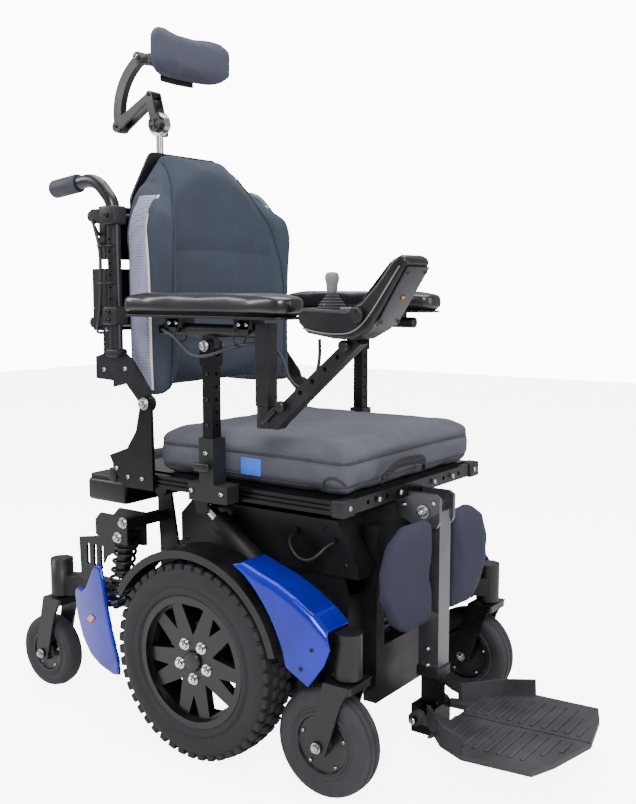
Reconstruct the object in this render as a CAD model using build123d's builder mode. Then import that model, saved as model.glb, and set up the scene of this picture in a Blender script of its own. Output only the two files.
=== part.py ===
from build123d import *
import os
from math import cos, degrees, pi, radians, sin, tan

os.makedirs("parts", exist_ok=True)

# Power wheelchair, in millimetres. +Z is up, +X is the user's left and -Y is the front.
# Lengths along the chair are measured from the drive axle, and AXLE_Y puts that axle in the frame,
# whose origin is on the floor under the middle of the chair's length and width.

# Overall sizes
OVERALL_WIDTH = 600
SEAT_WIDTH = 454
SEAT_DEPTH = 436
SEAT_HEIGHT = 491  # floor to the underside of the cushion
CUSHION_THICKNESS = 78
BACK_HEIGHT = 475

# Drive wheels
DRIVE_RADIUS = 178
DRIVE_WIDTH = 75
RIM_RADIUS = 118
HUB_RADIUS = 36
SHAFT_RADIUS = 12
LUG_CIRCLE = 33
LUG_RADIUS = 7.5
SPOKES = 5

# Casters: swivel axis, wheel and trail
FRONT_SWIVEL = (250, -305)
REAR_SWIVEL = (205, 436)
FRONT_RADIUS = 92
REAR_RADIUS = 75
FRONT_WHEEL_WIDTH = 50
REAR_WHEEL_WIDTH = 42
FRONT_TRAIL = 38
REAR_TRAIL = 35
FRONT_BARREL = (208, 283)  # lower and upper end of the swivel barrel
REAR_BARREL = (202, 277)
BARREL_RADIUS = 23
STEM_RADIUS = 10
CASTER_AXLE_RADIUS = 6
CASTER_HUB_SHARE = 0.58
FORK_PLATE = 6

# Fits
RUNNING = 0.05  # radial clearance of a pin in its bore
SIDE_GAP = 0.5  # side clearance between pieces that move past each other
SLIP = 0.3  # clearance between soft pieces and their neighbours

# Base
FRAME_HALF = 140  # centre line to the inner face of a side plate
FRAME_PLATE = 6
FLOOR_Z = 86
FRAME_TOP = 335
BUMPER_HALF = 98  # keeps the front bars inside the front casters' sweep
CHARGER_GLAND = 6
TIE_DOWN_FRONT = (-212, 150)
TIE_DOWN_REAR = (262, 184)
TIE_DOWN_RADIUS = 12
ARM_HUB_RADIUS = 20
ARM_PIN_RADIUS = 10
FRONT_ARM_PIVOT = (-105, 240)
REAR_ARM_PIVOT = (105, 215)
ARM_INNER = 166
ARM_OUTER = 198
BATTERY = (260, 170, 210)
SHOCK_TOP = (215, 362)
SHOCK_FOOT = (245, 226)
SHOCK_X = 230
SHOCK_PIN_RADIUS = 6
TOWER_INNER = 203
TOWER_PLATE = 5
FENDER_GAP = 18
FENDER_SKIN = 4
FENDER_FROM = 30  # degrees above the horizontal behind the axle
FENDER_TO = 165

# Tilt
TILT_PIVOT = (200, 445)
TILT_PIN_RADIUS = 8
TILT_EYE = 16.5  # radius of the post's rounded top
ACTUATOR_FOOT = (-105, 300)
ACTUATOR_HEAD = (60, 430)
ACTUATOR_X = 176
ACTUATOR_RADIUS = 20
ACTUATOR_ROD = 11
ACTUATOR_PIN = 6

# Seat and back
RAIL_HALF = 235
RAIL_WIDTH = 30
RAIL_DEPTH = 24
PAN_LAP = 10  # overlap of the seat pan on the rails
RAIL_FRONT = -283
RAIL_REAR = 251
ACCESSORY_PAIRS = (200, 320)  # hole spacings in the front rail
ACCESSORY_HOLE = 4
RECLINE_PIVOT = (149, 619)
RECLINE_PIN_RADIUS = 8
PIVOT_PLATE = 7
CANE_X = 232.5
CANE_Y = 231
CANE_RADIUS = 12.5
GRIP_RADIUS = 17.5
BACK_HALF = 208
BACK_FRONT = 138
BACK_REAR = 268
BACK_BOTTOM = 627
SHELL_THICKNESS = 5.5

# Headrest: (y from the axle, z) of its three hinges
HEAD_POST = (337, 1164)
HEAD_LOW = (450, 1168)
HEAD_TOP = (385, 1302)
HEAD_POST_RADIUS = 7.5
HEAD_HALF = 8
HEAD_CHEEK = (HEAD_HALF + SIDE_GAP, HEAD_HALF + SIDE_GAP + 6)

# Arms
ARM_X = 256
RIGHT_POST_Y = -25
LEFT_POST_Y = 5
POST_SIZE = 22
POST_CLEARANCE = 0.2
RECEIVER_WALL = 5
RECEIVER_Z = (494, 574)
POST_TOP = 714
ARM_PIVOT_Z = 732
ARM_TUBE_Z = 758
ARM_TUBE_RADIUS = 11
PAD_WIDTH = 75
PAD_FRONT = -187  # from the post
PAD_REAR = 191
PAD_Z = (779, 820)

# Joystick
SWING_Y = -145
SWING_POST_Z = (637, 766)
SWING_PIN_RADIUS = 7
MODULE_HALF = 34
MODULE_TOP = 796
STICK_Y = -276
GIMBAL_Z = 804
STICK_TOP = 855
DIAL = (-346, 790)
LEAD_GLAND = (-236, -238)

# Leg rest
LEG_PIVOT = (-315, 440)
LEG_PIN_RADIUS = 8
LEG_TUBE = 40
LEG_TUBE_Y = -322
LEG_TUBE_END = 137
SLIDER = 32
SLIDER_END = 26
FOOT_HINGE = (-315, 69)
FOOT_PIN_RADIUS = 6
FOOT_TILT = 2.5
FOOT_FRONT = -618
FOOT_PLATE = 9

AXLE_Y = -(FOOT_FRONT + REAR_SWIVEL[1] + REAR_TRAIL + REAR_RADIUS) / 2
WHEEL_X = (OVERALL_WIDTH - DRIVE_WIDTH) / 2
SEAT_RAIL_TOP = SEAT_HEIGHT - 3
SEAT_RAIL_BOTTOM = SEAT_RAIL_TOP - RAIL_DEPTH
SIDES = ((-1, "right"), (1, "left"))

# Side profiles are drawn on SIDE (y from the axle, z), plans on TOP (x, y from the axle)
# and cross sections on FRONT (x, z), whose normal points forwards.
SIDE = Plane(origin=(0, AXLE_Y, 0), x_dir=(0, 1, 0), z_dir=(1, 0, 0))
TOP = Plane(origin=(0, AXLE_Y, 0), x_dir=(1, 0, 0), z_dir=(0, 0, 1))
FRONT = Plane(origin=(0, AXLE_Y, 0), x_dir=(1, 0, 0), z_dir=(0, -1, 0))


def at(x, y, z):
    """A point x from the centre line, y behind the axle and z above the floor."""
    return Vector(x, AXLE_Y + y, z)


def side_plate(outline, x_from, x_to, mode=Mode.ADD):
    """A plate with a side profile, from x_from to x_to."""
    with BuildSketch(SIDE.offset(x_from)) as profile:
        with BuildLine():
            Polyline(*outline, close=True)
        make_face()
    extrude(profile.sketch, amount=x_to - x_from, dir=SIDE.z_dir, mode=mode)


def bar(x_range, y_range, z_range, corner=0, mode=Mode.ADD):
    """A box between two corners, with its upright edges rounded by corner."""
    width = abs(x_range[1] - x_range[0])
    depth = abs(y_range[1] - y_range[0])
    with BuildSketch(TOP.offset(z_range[0])) as plan:
        with Locations(((x_range[0] + x_range[1]) / 2, (y_range[0] + y_range[1]) / 2)):
            if corner:
                RectangleRounded(width, depth, corner)
            else:
                Rectangle(width, depth)
    extrude(plan.sketch, amount=z_range[1] - z_range[0], dir=TOP.z_dir, mode=mode)


def rod(start, end, radius, mode=Mode.ADD):
    """A round bar from start to end, both (x, y from the axle, z)."""
    foot = at(*start)
    along = at(*end) - foot
    with BuildSketch(Plane(origin=foot, z_dir=along)) as section:
        Circle(radius)
    extrude(section.sketch, amount=along.length, dir=along, mode=mode)


def disc_x(centre, x_from, x_to, radius, mode=Mode.ADD):
    """A disc about a sideways axis through centre, which is (y from the axle, z)."""
    with BuildSketch(SIDE.offset(x_from)) as section:
        with Locations(centre):
            Circle(radius)
    extrude(section.sketch, amount=x_to - x_from, dir=SIDE.z_dir, mode=mode)


def between(start, end, distance):
    """The point that lies distance along the way from start to end, in a side view."""
    span = Vector(end[0] - start[0], end[1] - start[1])
    return (start[0] + span.X / span.length * distance, start[1] + span.Y / span.length * distance)


def save(piece, name):
    """Labels a finished piece and writes it."""
    piece.part.label = name
    export_step(piece.part, f"parts/{name}.step")


# --- Base -------------------------------------------------------------------------------------

frame_outer = FRAME_HALF + FRAME_PLATE
frame_side = [
    (-222, 112), (-235, 140), (-235, 300), (-225, FRAME_TOP), (165, FRAME_TOP),
    (TILT_PIVOT[0] - TILT_EYE, TILT_PIVOT[1]), (TILT_PIVOT[0] + TILT_EYE, TILT_PIVOT[1]),
    (TILT_PIVOT[0] + TILT_EYE, 400), (212, FRAME_TOP), (212, 240), (300, 232), (300, 160), (205, 90), (-205, 90),
]
tower_outline = [
    (190, 404), (262, 404), (278, 388), (286, 346), (378, 330), (374, 246), (350, 244),
    (316, 272), (300, 300), (262, 322), (240, 336), (190, 340),
]
with BuildPart() as base_frame:
    for side, _ in SIDES:
        side_plate(frame_side, side * FRAME_HALF, side * frame_outer)
        disc_x(TILT_PIVOT, side * FRAME_HALF, side * frame_outer, TILT_EYE + 0.5)
    bar((-FRAME_HALF, FRAME_HALF), (-205, 205), (90, 94))
    bar((-FRAME_HALF, FRAME_HALF), (-235, -230), (112, 300))
    bar((-FRAME_HALF, FRAME_HALF), (294, 300), (160, 232))
    bar((-FRAME_HALF, FRAME_HALF), (188, 212), (300, 324))
    bar((-BUMPER_HALF, BUMPER_HALF), (-262, -235), (100, 200))
    for side, _ in SIDES:
        bar((side * (BUMPER_HALF - 26), side * BUMPER_HALF), (-262, -235), (200, 420))
        rod((side * frame_outer, *FRONT_ARM_PIVOT), (side * (ARM_OUTER + 4), *FRONT_ARM_PIVOT), ARM_PIN_RADIUS)
        rod((side * frame_outer, *REAR_ARM_PIVOT), (side * (ARM_OUTER + 4), *REAR_ARM_PIVOT), ARM_PIN_RADIUS)
        tower_outer = TOWER_INNER + TOWER_PLATE
        side_plate(tower_outline, side * TOWER_INNER, side * tower_outer)
        for slot_y in (312, 332, 352):
            with BuildSketch(SIDE.offset(side * TOWER_INNER)):
                with Locations((slot_y, 300)):
                    SlotOverall(44, 8, rotation=90)
            extrude(amount=side * TOWER_PLATE, mode=Mode.SUBTRACT)
        bar((side * FRAME_HALF, side * 255), (190, 204), (380, 400))
        bar((side * FRAME_HALF, side * frame_outer), (190, 204), (FRAME_TOP - 20, 400))
        outer_plate = [(190, 350), (190, 404), (262, 404), (276, 390), (276, 362), (262, 350)]
        side_plate(outer_plate, side * 251, side * 255)
        rod((side * TOWER_INNER, *SHOCK_TOP), (side * 251, *SHOCK_TOP), SHOCK_PIN_RADIUS)
        rod((side * frame_outer, *ACTUATOR_FOOT), (side * (ACTUATOR_X + 16), *ACTUATOR_FOOT), ACTUATOR_PIN)
        disc_x(TILT_PIVOT, side * FRAME_HALF, side * frame_outer, TILT_PIN_RADIUS + RUNNING, Mode.SUBTRACT)
        for hole in (TIE_DOWN_FRONT, TIE_DOWN_REAR):
            disc_x(hole, side * FRAME_HALF, side * frame_outer, TIE_DOWN_RADIUS, Mode.SUBTRACT)
save(base_frame, "base_frame")

with BuildPart() as batteries:
    for front in (-8 - BATTERY[1], 8):
        with BuildSketch(TOP.offset(94)):
            with Locations((0, front + BATTERY[1] / 2)):
                RectangleRounded(BATTERY[0], BATTERY[1], 8)
        extrude(amount=BATTERY[2])
        for x in (-96, 96):
            rod((x, front + 30, 94 + BATTERY[2]), (x, front + 30, 94 + BATTERY[2] + 14), 9)
save(batteries, "batteries")

with BuildPart() as base_cover:
    cover_top = 432
    cover_side = -frame_outer - 4
    cover_outline = [
        (-258, FRAME_TOP), (-258, 352), (-212, cover_top), (118, cover_top), (150, 400), (150, FRAME_TOP),
    ]
    side_plate(cover_outline, -frame_outer - 4, frame_outer + 4)
    cover_inner = [
        (-254, FRAME_TOP), (-254, 351), (-209, cover_top - 4), (116, cover_top - 4), (146, 398), (146, FRAME_TOP),
    ]
    side_plate(cover_inner, -frame_outer, frame_outer, Mode.SUBTRACT)
    for side, _ in SIDES:
        cut = (side * (BUMPER_HALF - 30), side * (BUMPER_HALF + 4))
        bar(cut, (-262, -231), (FRAME_TOP, cover_top), mode=Mode.SUBTRACT)
    for gland in ((-128, 404), (-210, 396)):
        disc_x(gland, cover_side - CHARGER_GLAND, cover_side, 6)
save(base_cover, "base_cover")

with BuildPart() as drive_motors:
    for side, _ in SIDES:
        disc_x((0, DRIVE_RADIUS), side * frame_outer, side * 216, 50)
        rod((side * 181, -30, 152), (side * 181, -176, 152), 34)
        disc_x((0, DRIVE_RADIUS), side * frame_outer, side * 216, SHAFT_RADIUS + RUNNING, Mode.SUBTRACT)
save(drive_motors, "drive_motors")

fender_inner = DRIVE_RADIUS + FENDER_GAP
with BuildPart() as fenders:
    for side, _ in SIDES:
        skin_outer = side * OVERALL_WIDTH / 2
        skin_inner = side * (OVERALL_WIDTH / 2 - 74)
        for x_from, x_to, inner in (
            (skin_inner, skin_outer, fender_inner),
            (skin_outer - side * FENDER_SKIN, skin_outer, fender_inner - 10),
        ):
            with BuildSketch(SIDE.offset(x_from)):
                with Locations((0, DRIVE_RADIUS)):
                    Circle(fender_inner + FENDER_SKIN)
                    Circle(inner, mode=Mode.SUBTRACT)
                with BuildLine():
                    reach = 2 * DRIVE_RADIUS + 80
                    low = (reach * cos(radians(FENDER_FROM)), DRIVE_RADIUS + reach * sin(radians(FENDER_FROM)))
                    high = (reach * cos(radians(FENDER_TO)), DRIVE_RADIUS + reach * sin(radians(FENDER_TO)))
                    Polyline((0, DRIVE_RADIUS), low, (reach, 3 * reach), (-reach, 3 * reach), high, close=True)
                make_face(mode=Mode.INTERSECT)
            extrude(amount=x_to - x_from)
        strut_top = DRIVE_RADIUS + (fender_inner**2 - 60**2) ** 0.5 + 1
        bar((side * frame_outer, side * 222), (35, 60), (FRAME_TOP - 6, FRAME_TOP - 2))
        bar((side * 218, side * 222), (35, 60), (FRAME_TOP - 6, strut_top))
        bar((side * 218, side * 232), (35, 60), (strut_top - 5, strut_top))
save(fenders, "fenders")

# --- Tilt actuators: barrels on the base, rods that end between lugs of the seat ----------------

actuator_length = (Vector(*ACTUATOR_HEAD) - Vector(*ACTUATOR_FOOT)).length
actuator_tube = actuator_length - 36
with BuildPart() as tilt_actuator:
    for side, _ in SIDES:
        x = side * ACTUATOR_X
        disc_x(ACTUATOR_FOOT, x - 10, x + 10, 15)
        rod(
            (x, *between(ACTUATOR_FOOT, ACTUATOR_HEAD, 8)),
            (x, *between(ACTUATOR_FOOT, ACTUATOR_HEAD, actuator_tube)),
            ACTUATOR_RADIUS,
        )
        rod(
            (x, *between(ACTUATOR_FOOT, ACTUATOR_HEAD, 34)),
            (x, *between(ACTUATOR_FOOT, ACTUATOR_HEAD, actuator_tube + 2)),
            ACTUATOR_ROD + RUNNING,
            Mode.SUBTRACT,
        )
        disc_x(ACTUATOR_FOOT, x - 30, x + 30, ACTUATOR_PIN + RUNNING, Mode.SUBTRACT)
save(tilt_actuator, "tilt_actuator")

with BuildPart() as tilt_rod:
    for side, _ in SIDES:
        x = side * ACTUATOR_X
        rod(
            (x, *between(ACTUATOR_FOOT, ACTUATOR_HEAD, 52)),
            (x, *between(ACTUATOR_FOOT, ACTUATOR_HEAD, actuator_length)),
            ACTUATOR_ROD,
        )
        disc_x(ACTUATOR_HEAD, x - 8, x + 8, 13)
        disc_x(ACTUATOR_HEAD, x - 15, x + 15, ACTUATOR_PIN + RUNNING, Mode.SUBTRACT)
save(tilt_rod, "tilt_rod")

# --- Drive wheels -------------------------------------------------------------------------------

for side, hand in SIDES:
    wheel_plane = Plane(origin=at(0, 0, DRIVE_RADIUS), x_dir=(1, 0, 0), z_dir=(0, -1, 0))
    wheel_axis = Axis(at(0, 0, DRIVE_RADIUS), (1, 0, 0))
    with BuildPart() as tyre:
        with BuildSketch(wheel_plane):
            with Locations((side * WHEEL_X, (RIM_RADIUS + DRIVE_RADIUS) / 2)):
                Rectangle(DRIVE_WIDTH, DRIVE_RADIUS - RIM_RADIUS)
            fillet(vertices().group_by(Axis.Y)[-1], radius=DRIVE_WIDTH / 4)
        revolve(axis=wheel_axis)
    save(tyre, f"tyre_{hand}")

    face = side * (OVERALL_WIDTH / 2 - 16)
    back = side * (OVERALL_WIDTH / 2 - 32)
    with BuildPart() as rim:
        with BuildSketch(wheel_plane):
            with Locations((side * WHEEL_X, RIM_RADIUS - 6)):
                Rectangle(DRIVE_WIDTH - 10, 12)
        revolve(axis=wheel_axis)
        disc_x((0, DRIVE_RADIUS), back, face, RIM_RADIUS - 8)
        disc_x((0, DRIVE_RADIUS), side * 222, face, HUB_RADIUS)
        disc_x((0, DRIVE_RADIUS), side * 156, side * 222, SHAFT_RADIUS)
        for turn in range(SPOKES):
            for offset, start, spread in ((0, HUB_RADIUS + 10, 27), (180 / SPOKES, HUB_RADIUS + 26, 13)):
                middle = radians(90 + offset + turn * 360 / SPOKES)
                outer = RIM_RADIUS - 16
                half_angle = spread / outer
                corners = [(start, middle), (outer, middle - half_angle), (outer, middle + half_angle)]
                window = [(r * cos(angle), DRIVE_RADIUS + r * sin(angle)) for r, angle in corners]
                side_plate(window, back, face, Mode.SUBTRACT)
        for turn in range(SPOKES):
            angle = radians(90 + 180 / SPOKES + turn * 360 / SPOKES)
            nut = (LUG_CIRCLE * cos(angle), DRIVE_RADIUS + LUG_CIRCLE * sin(angle))
            disc_x(nut, face, face - side * 6, LUG_RADIUS + 3, Mode.SUBTRACT)
        for turn in range(SPOKES):
            angle = radians(90 + 180 / SPOKES + turn * 360 / SPOKES)
            nut = (LUG_CIRCLE * cos(angle), DRIVE_RADIUS + LUG_CIRCLE * sin(angle))
            with BuildSketch(SIDE.offset(face - side * (6 - RUNNING))):
                with Locations(nut):
                    RegularPolygon(LUG_RADIUS, 6)
            extrude(amount=side * 8)
    save(rim, f"rim_{hand}")

# --- Casters ------------------------------------------------------------------------------------


def caster_fork(side, swivel, barrel, radius, width, trail):
    """A swivel fork: stem, crown, two legs and the axle, trailing behind its swivel axis."""
    x, y = side * swivel[0], swivel[1]
    crown_top = barrel[0] - 4
    leg_in = width / 2 + 3
    leg_out = leg_in + FORK_PLATE
    legs = [
        (y - 24, crown_top), (y + 26, crown_top), (y + trail + 17, radius + 12), (y + trail + 15, radius - 12),
        (y + trail, radius - 18), (y + trail - 15, radius - 12), (y - 6, crown_top - 34),
    ]
    with BuildPart() as fork:
        rod((x, y, crown_top - 8), (x, y, barrel[1] - 12), STEM_RADIUS)
        bar((x - leg_out, x + leg_out), (y - 24, y + 26), (crown_top - 13, crown_top), corner=8)
        for leg in (-1, 1):
            side_plate(legs, x + leg * leg_in, x + leg * leg_out)
        disc_x((y + trail, radius), x - leg_out - 3, x + leg_out + 3, CASTER_AXLE_RADIUS)
        disc_x((y + trail, radius), x - leg_out - 3, x - leg_out, CASTER_AXLE_RADIUS + 4)
        disc_x((y + trail, radius), x + leg_out, x + leg_out + 3, CASTER_AXLE_RADIUS + 4)
    return fork


def caster_wheel(side, swivel, radius, width, trail):
    """A hub with its bore and a separate tyre on it."""
    x, y = side * swivel[0], swivel[1] + trail
    hub_radius = radius * CASTER_HUB_SHARE
    plane = Plane(origin=at(x, y, radius), x_dir=(1, 0, 0), z_dir=(0, -1, 0))
    with BuildPart() as wheel:
        disc_x((y, radius), x - width / 2 + 2, x + width / 2 - 2, hub_radius)
        disc_x((y, radius), x - width / 2, x + width / 2, CASTER_AXLE_RADIUS + 8)
        disc_x((y, radius), x - width / 2 + 2, x - width / 2 + 12, hub_radius - 6, Mode.SUBTRACT)
        disc_x((y, radius), x + width / 2 - 12, x + width / 2 - 2, hub_radius - 6, Mode.SUBTRACT)
        disc_x((y, radius), x - width / 2, x + width / 2, CASTER_AXLE_RADIUS + 8)
        disc_x((y, radius), x - width / 2, x + width / 2, CASTER_AXLE_RADIUS + RUNNING, Mode.SUBTRACT)
        with BuildSketch(plane) as section:
            with Locations((0, (hub_radius + RUNNING + radius) / 2)):
                Rectangle(width, radius - hub_radius - RUNNING)
            fillet(section.vertices().group_by(Axis.Y)[-1], radius=width * 0.42)
        revolve(section.sketch, axis=Axis(at(x, y, radius), (1, 0, 0)))
    return wheel


for side, hand in SIDES:
    for end, swivel, barrel, radius, width, trail in (
        ("front", FRONT_SWIVEL, FRONT_BARREL, FRONT_RADIUS, FRONT_WHEEL_WIDTH, FRONT_TRAIL),
        ("rear", REAR_SWIVEL, REAR_BARREL, REAR_RADIUS, REAR_WHEEL_WIDTH, REAR_TRAIL),
    ):
        save(caster_fork(side, swivel, barrel, radius, width, trail), f"caster_fork_{end}_{hand}")
        save(caster_wheel(side, swivel, radius, width, trail), f"caster_wheel_{end}_{hand}")

# --- Suspension arms, shrouds and shocks --------------------------------------------------------

FRONT_BEAM_KINK = -190
FRONT_BEAM_SPLAY = 0.63
front_beam = [
    (ARM_INNER, -95), (ARM_INNER, -205), (FRONT_SWIVEL[0] - 22, FRONT_SWIVEL[1] - 13),
    (ARM_OUTER - (FRONT_SWIVEL[1] + 13 - FRONT_BEAM_KINK) * FRONT_BEAM_SPLAY, FRONT_SWIVEL[1] + 13),
    (ARM_OUTER, FRONT_BEAM_KINK), (ARM_OUTER, -95),
]
rear_beam = [(ARM_INNER, 95), (ARM_INNER, 400), (190, 446), (222, 430), (ARM_OUTER, 385), (ARM_OUTER, 95)]
shock_length = (Vector(*SHOCK_TOP) - Vector(*SHOCK_FOOT)).length
SHROUD_SKIN = 4
rear_shroud_side = [
    (203, 131), (196, 104), (214, 97), (318, 122), (362, 240), (324, 243), (286, 291), (264, 302), (252, 296),
]
rear_shroud_plan = [(279, 188), (239, 372), (239 - SHROUD_SKIN, 372), (279 - SHROUD_SKIN, 188)]

for side, hand in SIDES:
    with BuildPart() as front_arm:
        disc_x(FRONT_ARM_PIVOT, side * (frame_outer + 1), side * ARM_OUTER, ARM_HUB_RADIUS)
        with BuildSketch(TOP.offset(222)):
            with BuildLine():
                Polyline(*[(side * x, y) for x, y in front_beam], close=True)
            make_face()
        extrude(amount=36, dir=TOP.z_dir)
        x, y = side * FRONT_SWIVEL[0], FRONT_SWIVEL[1]
        rod((x, y, FRONT_BARREL[0]), (x, y, FRONT_BARREL[1]), BARREL_RADIUS)
        rod((x, y, FRONT_BARREL[0]), (x, y, FRONT_BARREL[1] - 10), STEM_RADIUS + RUNNING, Mode.SUBTRACT)
        disc_x(FRONT_ARM_PIVOT, side * frame_outer, side * (ARM_OUTER + 4), ARM_PIN_RADIUS + RUNNING, Mode.SUBTRACT)
    save(front_arm, f"front_arm_{hand}")

    with BuildPart() as front_shroud:
        shroud_outer = side * 289
        shroud_inner = side * 275.5
        with BuildSketch(SIDE.offset(shroud_outer)):
            with BuildLine():
                clear = DRIVE_RADIUS + FENDER_GAP + FENDER_SKIN + 12
                points = [
                    (clear * cos(radians(a)), DRIVE_RADIUS + clear * sin(radians(a))) for a in (170, 142, 112)
                ]
                ThreePointArc(*points)
                Polyline(points[2], (-172, 354), (-238, 324), (-292, 282), (-296, 262), (-252, 188), points[0])
            make_face()
        extrude(amount=-side * 4, dir=SIDE.z_dir)
        for boss_y in (-220, -246):
            beam_face = ARM_OUTER + (FRONT_BEAM_KINK - boss_y + 5) * FRONT_BEAM_SPLAY
            rod((side * beam_face, boss_y, 240), (side * 287, boss_y, 240), 5)
    save(front_shroud, f"front_shroud_{hand}")

    with BuildPart() as rear_arm:
        disc_x(REAR_ARM_PIVOT, side * (frame_outer + 1), side * ARM_OUTER, ARM_HUB_RADIUS)
        with BuildSketch(TOP.offset(203)):
            with BuildLine():
                Polyline(*[(side * x, y) for x, y in rear_beam], close=True)
            make_face()
        extrude(amount=40, dir=TOP.z_dir)
        x, y = side * REAR_SWIVEL[0], REAR_SWIVEL[1]
        rod((x, y, REAR_BARREL[0]), (x, y, REAR_BARREL[1]), BARREL_RADIUS)
        rod((x, y, REAR_BARREL[0]), (x, y, REAR_BARREL[1] - 10), STEM_RADIUS + RUNNING, Mode.SUBTRACT)
        rod((side * (ARM_OUTER - 4), *SHOCK_FOOT), (side * 252, *SHOCK_FOOT), SHOCK_PIN_RADIUS)
        disc_x(REAR_ARM_PIVOT, side * frame_outer, side * (ARM_OUTER + 4), ARM_PIN_RADIUS + RUNNING, Mode.SUBTRACT)
    with BuildPart() as rear_shroud:
        side_plate(rear_shroud_side, side * 200, side * 290)
        with BuildSketch(TOP.offset(80)):
            with BuildLine():
                Polyline(*[(side * x, y) for x, y in rear_shroud_plan], close=True)
            make_face()
        extrude(amount=240, dir=TOP.z_dir, mode=Mode.INTERSECT)
        for boss_y in (284, 330):
            boss_end = 279 - (boss_y - 188) * 40 / 184 - SHROUD_SKIN / 2
            rod((side * (ARM_OUTER + RUNNING), boss_y, 223), (side * boss_end, boss_y, 223), 6)
    rear_arm.part = Compound(children=[*rear_arm.part.solids(), *rear_shroud.part.solids()])
    save(rear_arm, f"rear_arm_{hand}")

    with BuildPart() as shock_body:
        disc_x(SHOCK_TOP, side * (SHOCK_X - 14), side * (SHOCK_X + 14), 13)
        rod(
            (side * SHOCK_X, *between(SHOCK_TOP, SHOCK_FOOT, 8)),
            (side * SHOCK_X, *between(SHOCK_TOP, SHOCK_FOOT, 84)),
            15,
        )
        rod(
            (side * SHOCK_X, *between(SHOCK_TOP, SHOCK_FOOT, 20)),
            (side * SHOCK_X, *between(SHOCK_TOP, SHOCK_FOOT, 90)),
            6 + RUNNING,
            Mode.SUBTRACT,
        )
        disc_x(SHOCK_TOP, side * (SHOCK_X - 20), side * (SHOCK_X + 20), SHOCK_PIN_RADIUS + RUNNING, Mode.SUBTRACT)
    save(shock_body, f"shock_body_{hand}")

    with BuildPart() as shock_rod:
        rod(
            (side * SHOCK_X, *between(SHOCK_TOP, SHOCK_FOOT, 44)),
            (side * SHOCK_X, *between(SHOCK_TOP, SHOCK_FOOT, shock_length)),
            6,
        )
        rod(
            (side * SHOCK_X, *between(SHOCK_TOP, SHOCK_FOOT, shock_length - 24)),
            (side * SHOCK_X, *between(SHOCK_TOP, SHOCK_FOOT, shock_length - 18)),
            17,
        )
        disc_x(SHOCK_FOOT, side * (SHOCK_X - 8), side * (SHOCK_X + 8), 13)
        disc_x(SHOCK_FOOT, side * (SHOCK_X - 9), side * (SHOCK_X + 9), SHOCK_PIN_RADIUS + 2, Mode.SUBTRACT)
    save(shock_rod, f"shock_rod_{hand}")

# --- Seat ---------------------------------------------------------------------------------------

rail_inner = RAIL_HALF - RAIL_WIDTH
rail_z = (SEAT_RAIL_BOTTOM, SEAT_RAIL_TOP)
pivot_plate = [
    (RECLINE_PIVOT[0] - 16, SEAT_RAIL_BOTTOM - 6), (RECLINE_PIVOT[0] + 64, SEAT_RAIL_BOTTOM - 6),
    (RECLINE_PIVOT[0] + 98, 515), (RECLINE_PIVOT[0] + 50, 532), (RECLINE_PIVOT[0] + 26, 566),
    (RECLINE_PIVOT[0] + 13, RECLINE_PIVOT[1]), (RECLINE_PIVOT[0] - 13, RECLINE_PIVOT[1]),
]
tilt_lug = [
    (TILT_PIVOT[0] - 26, SEAT_RAIL_BOTTOM), (TILT_PIVOT[0] - 15, TILT_PIVOT[1] - 12),
    (TILT_PIVOT[0] + 15, TILT_PIVOT[1] - 12), (TILT_PIVOT[0] + 26, SEAT_RAIL_BOTTOM),
]
head_lug = [
    (ACTUATOR_HEAD[0] - 22, SEAT_RAIL_BOTTOM + 2), (ACTUATOR_HEAD[0] - 12, ACTUATOR_HEAD[1] - 12),
    (ACTUATOR_HEAD[0] + 12, ACTUATOR_HEAD[1] - 12), (ACTUATOR_HEAD[0] + 22, SEAT_RAIL_BOTTOM + 2),
]
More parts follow.
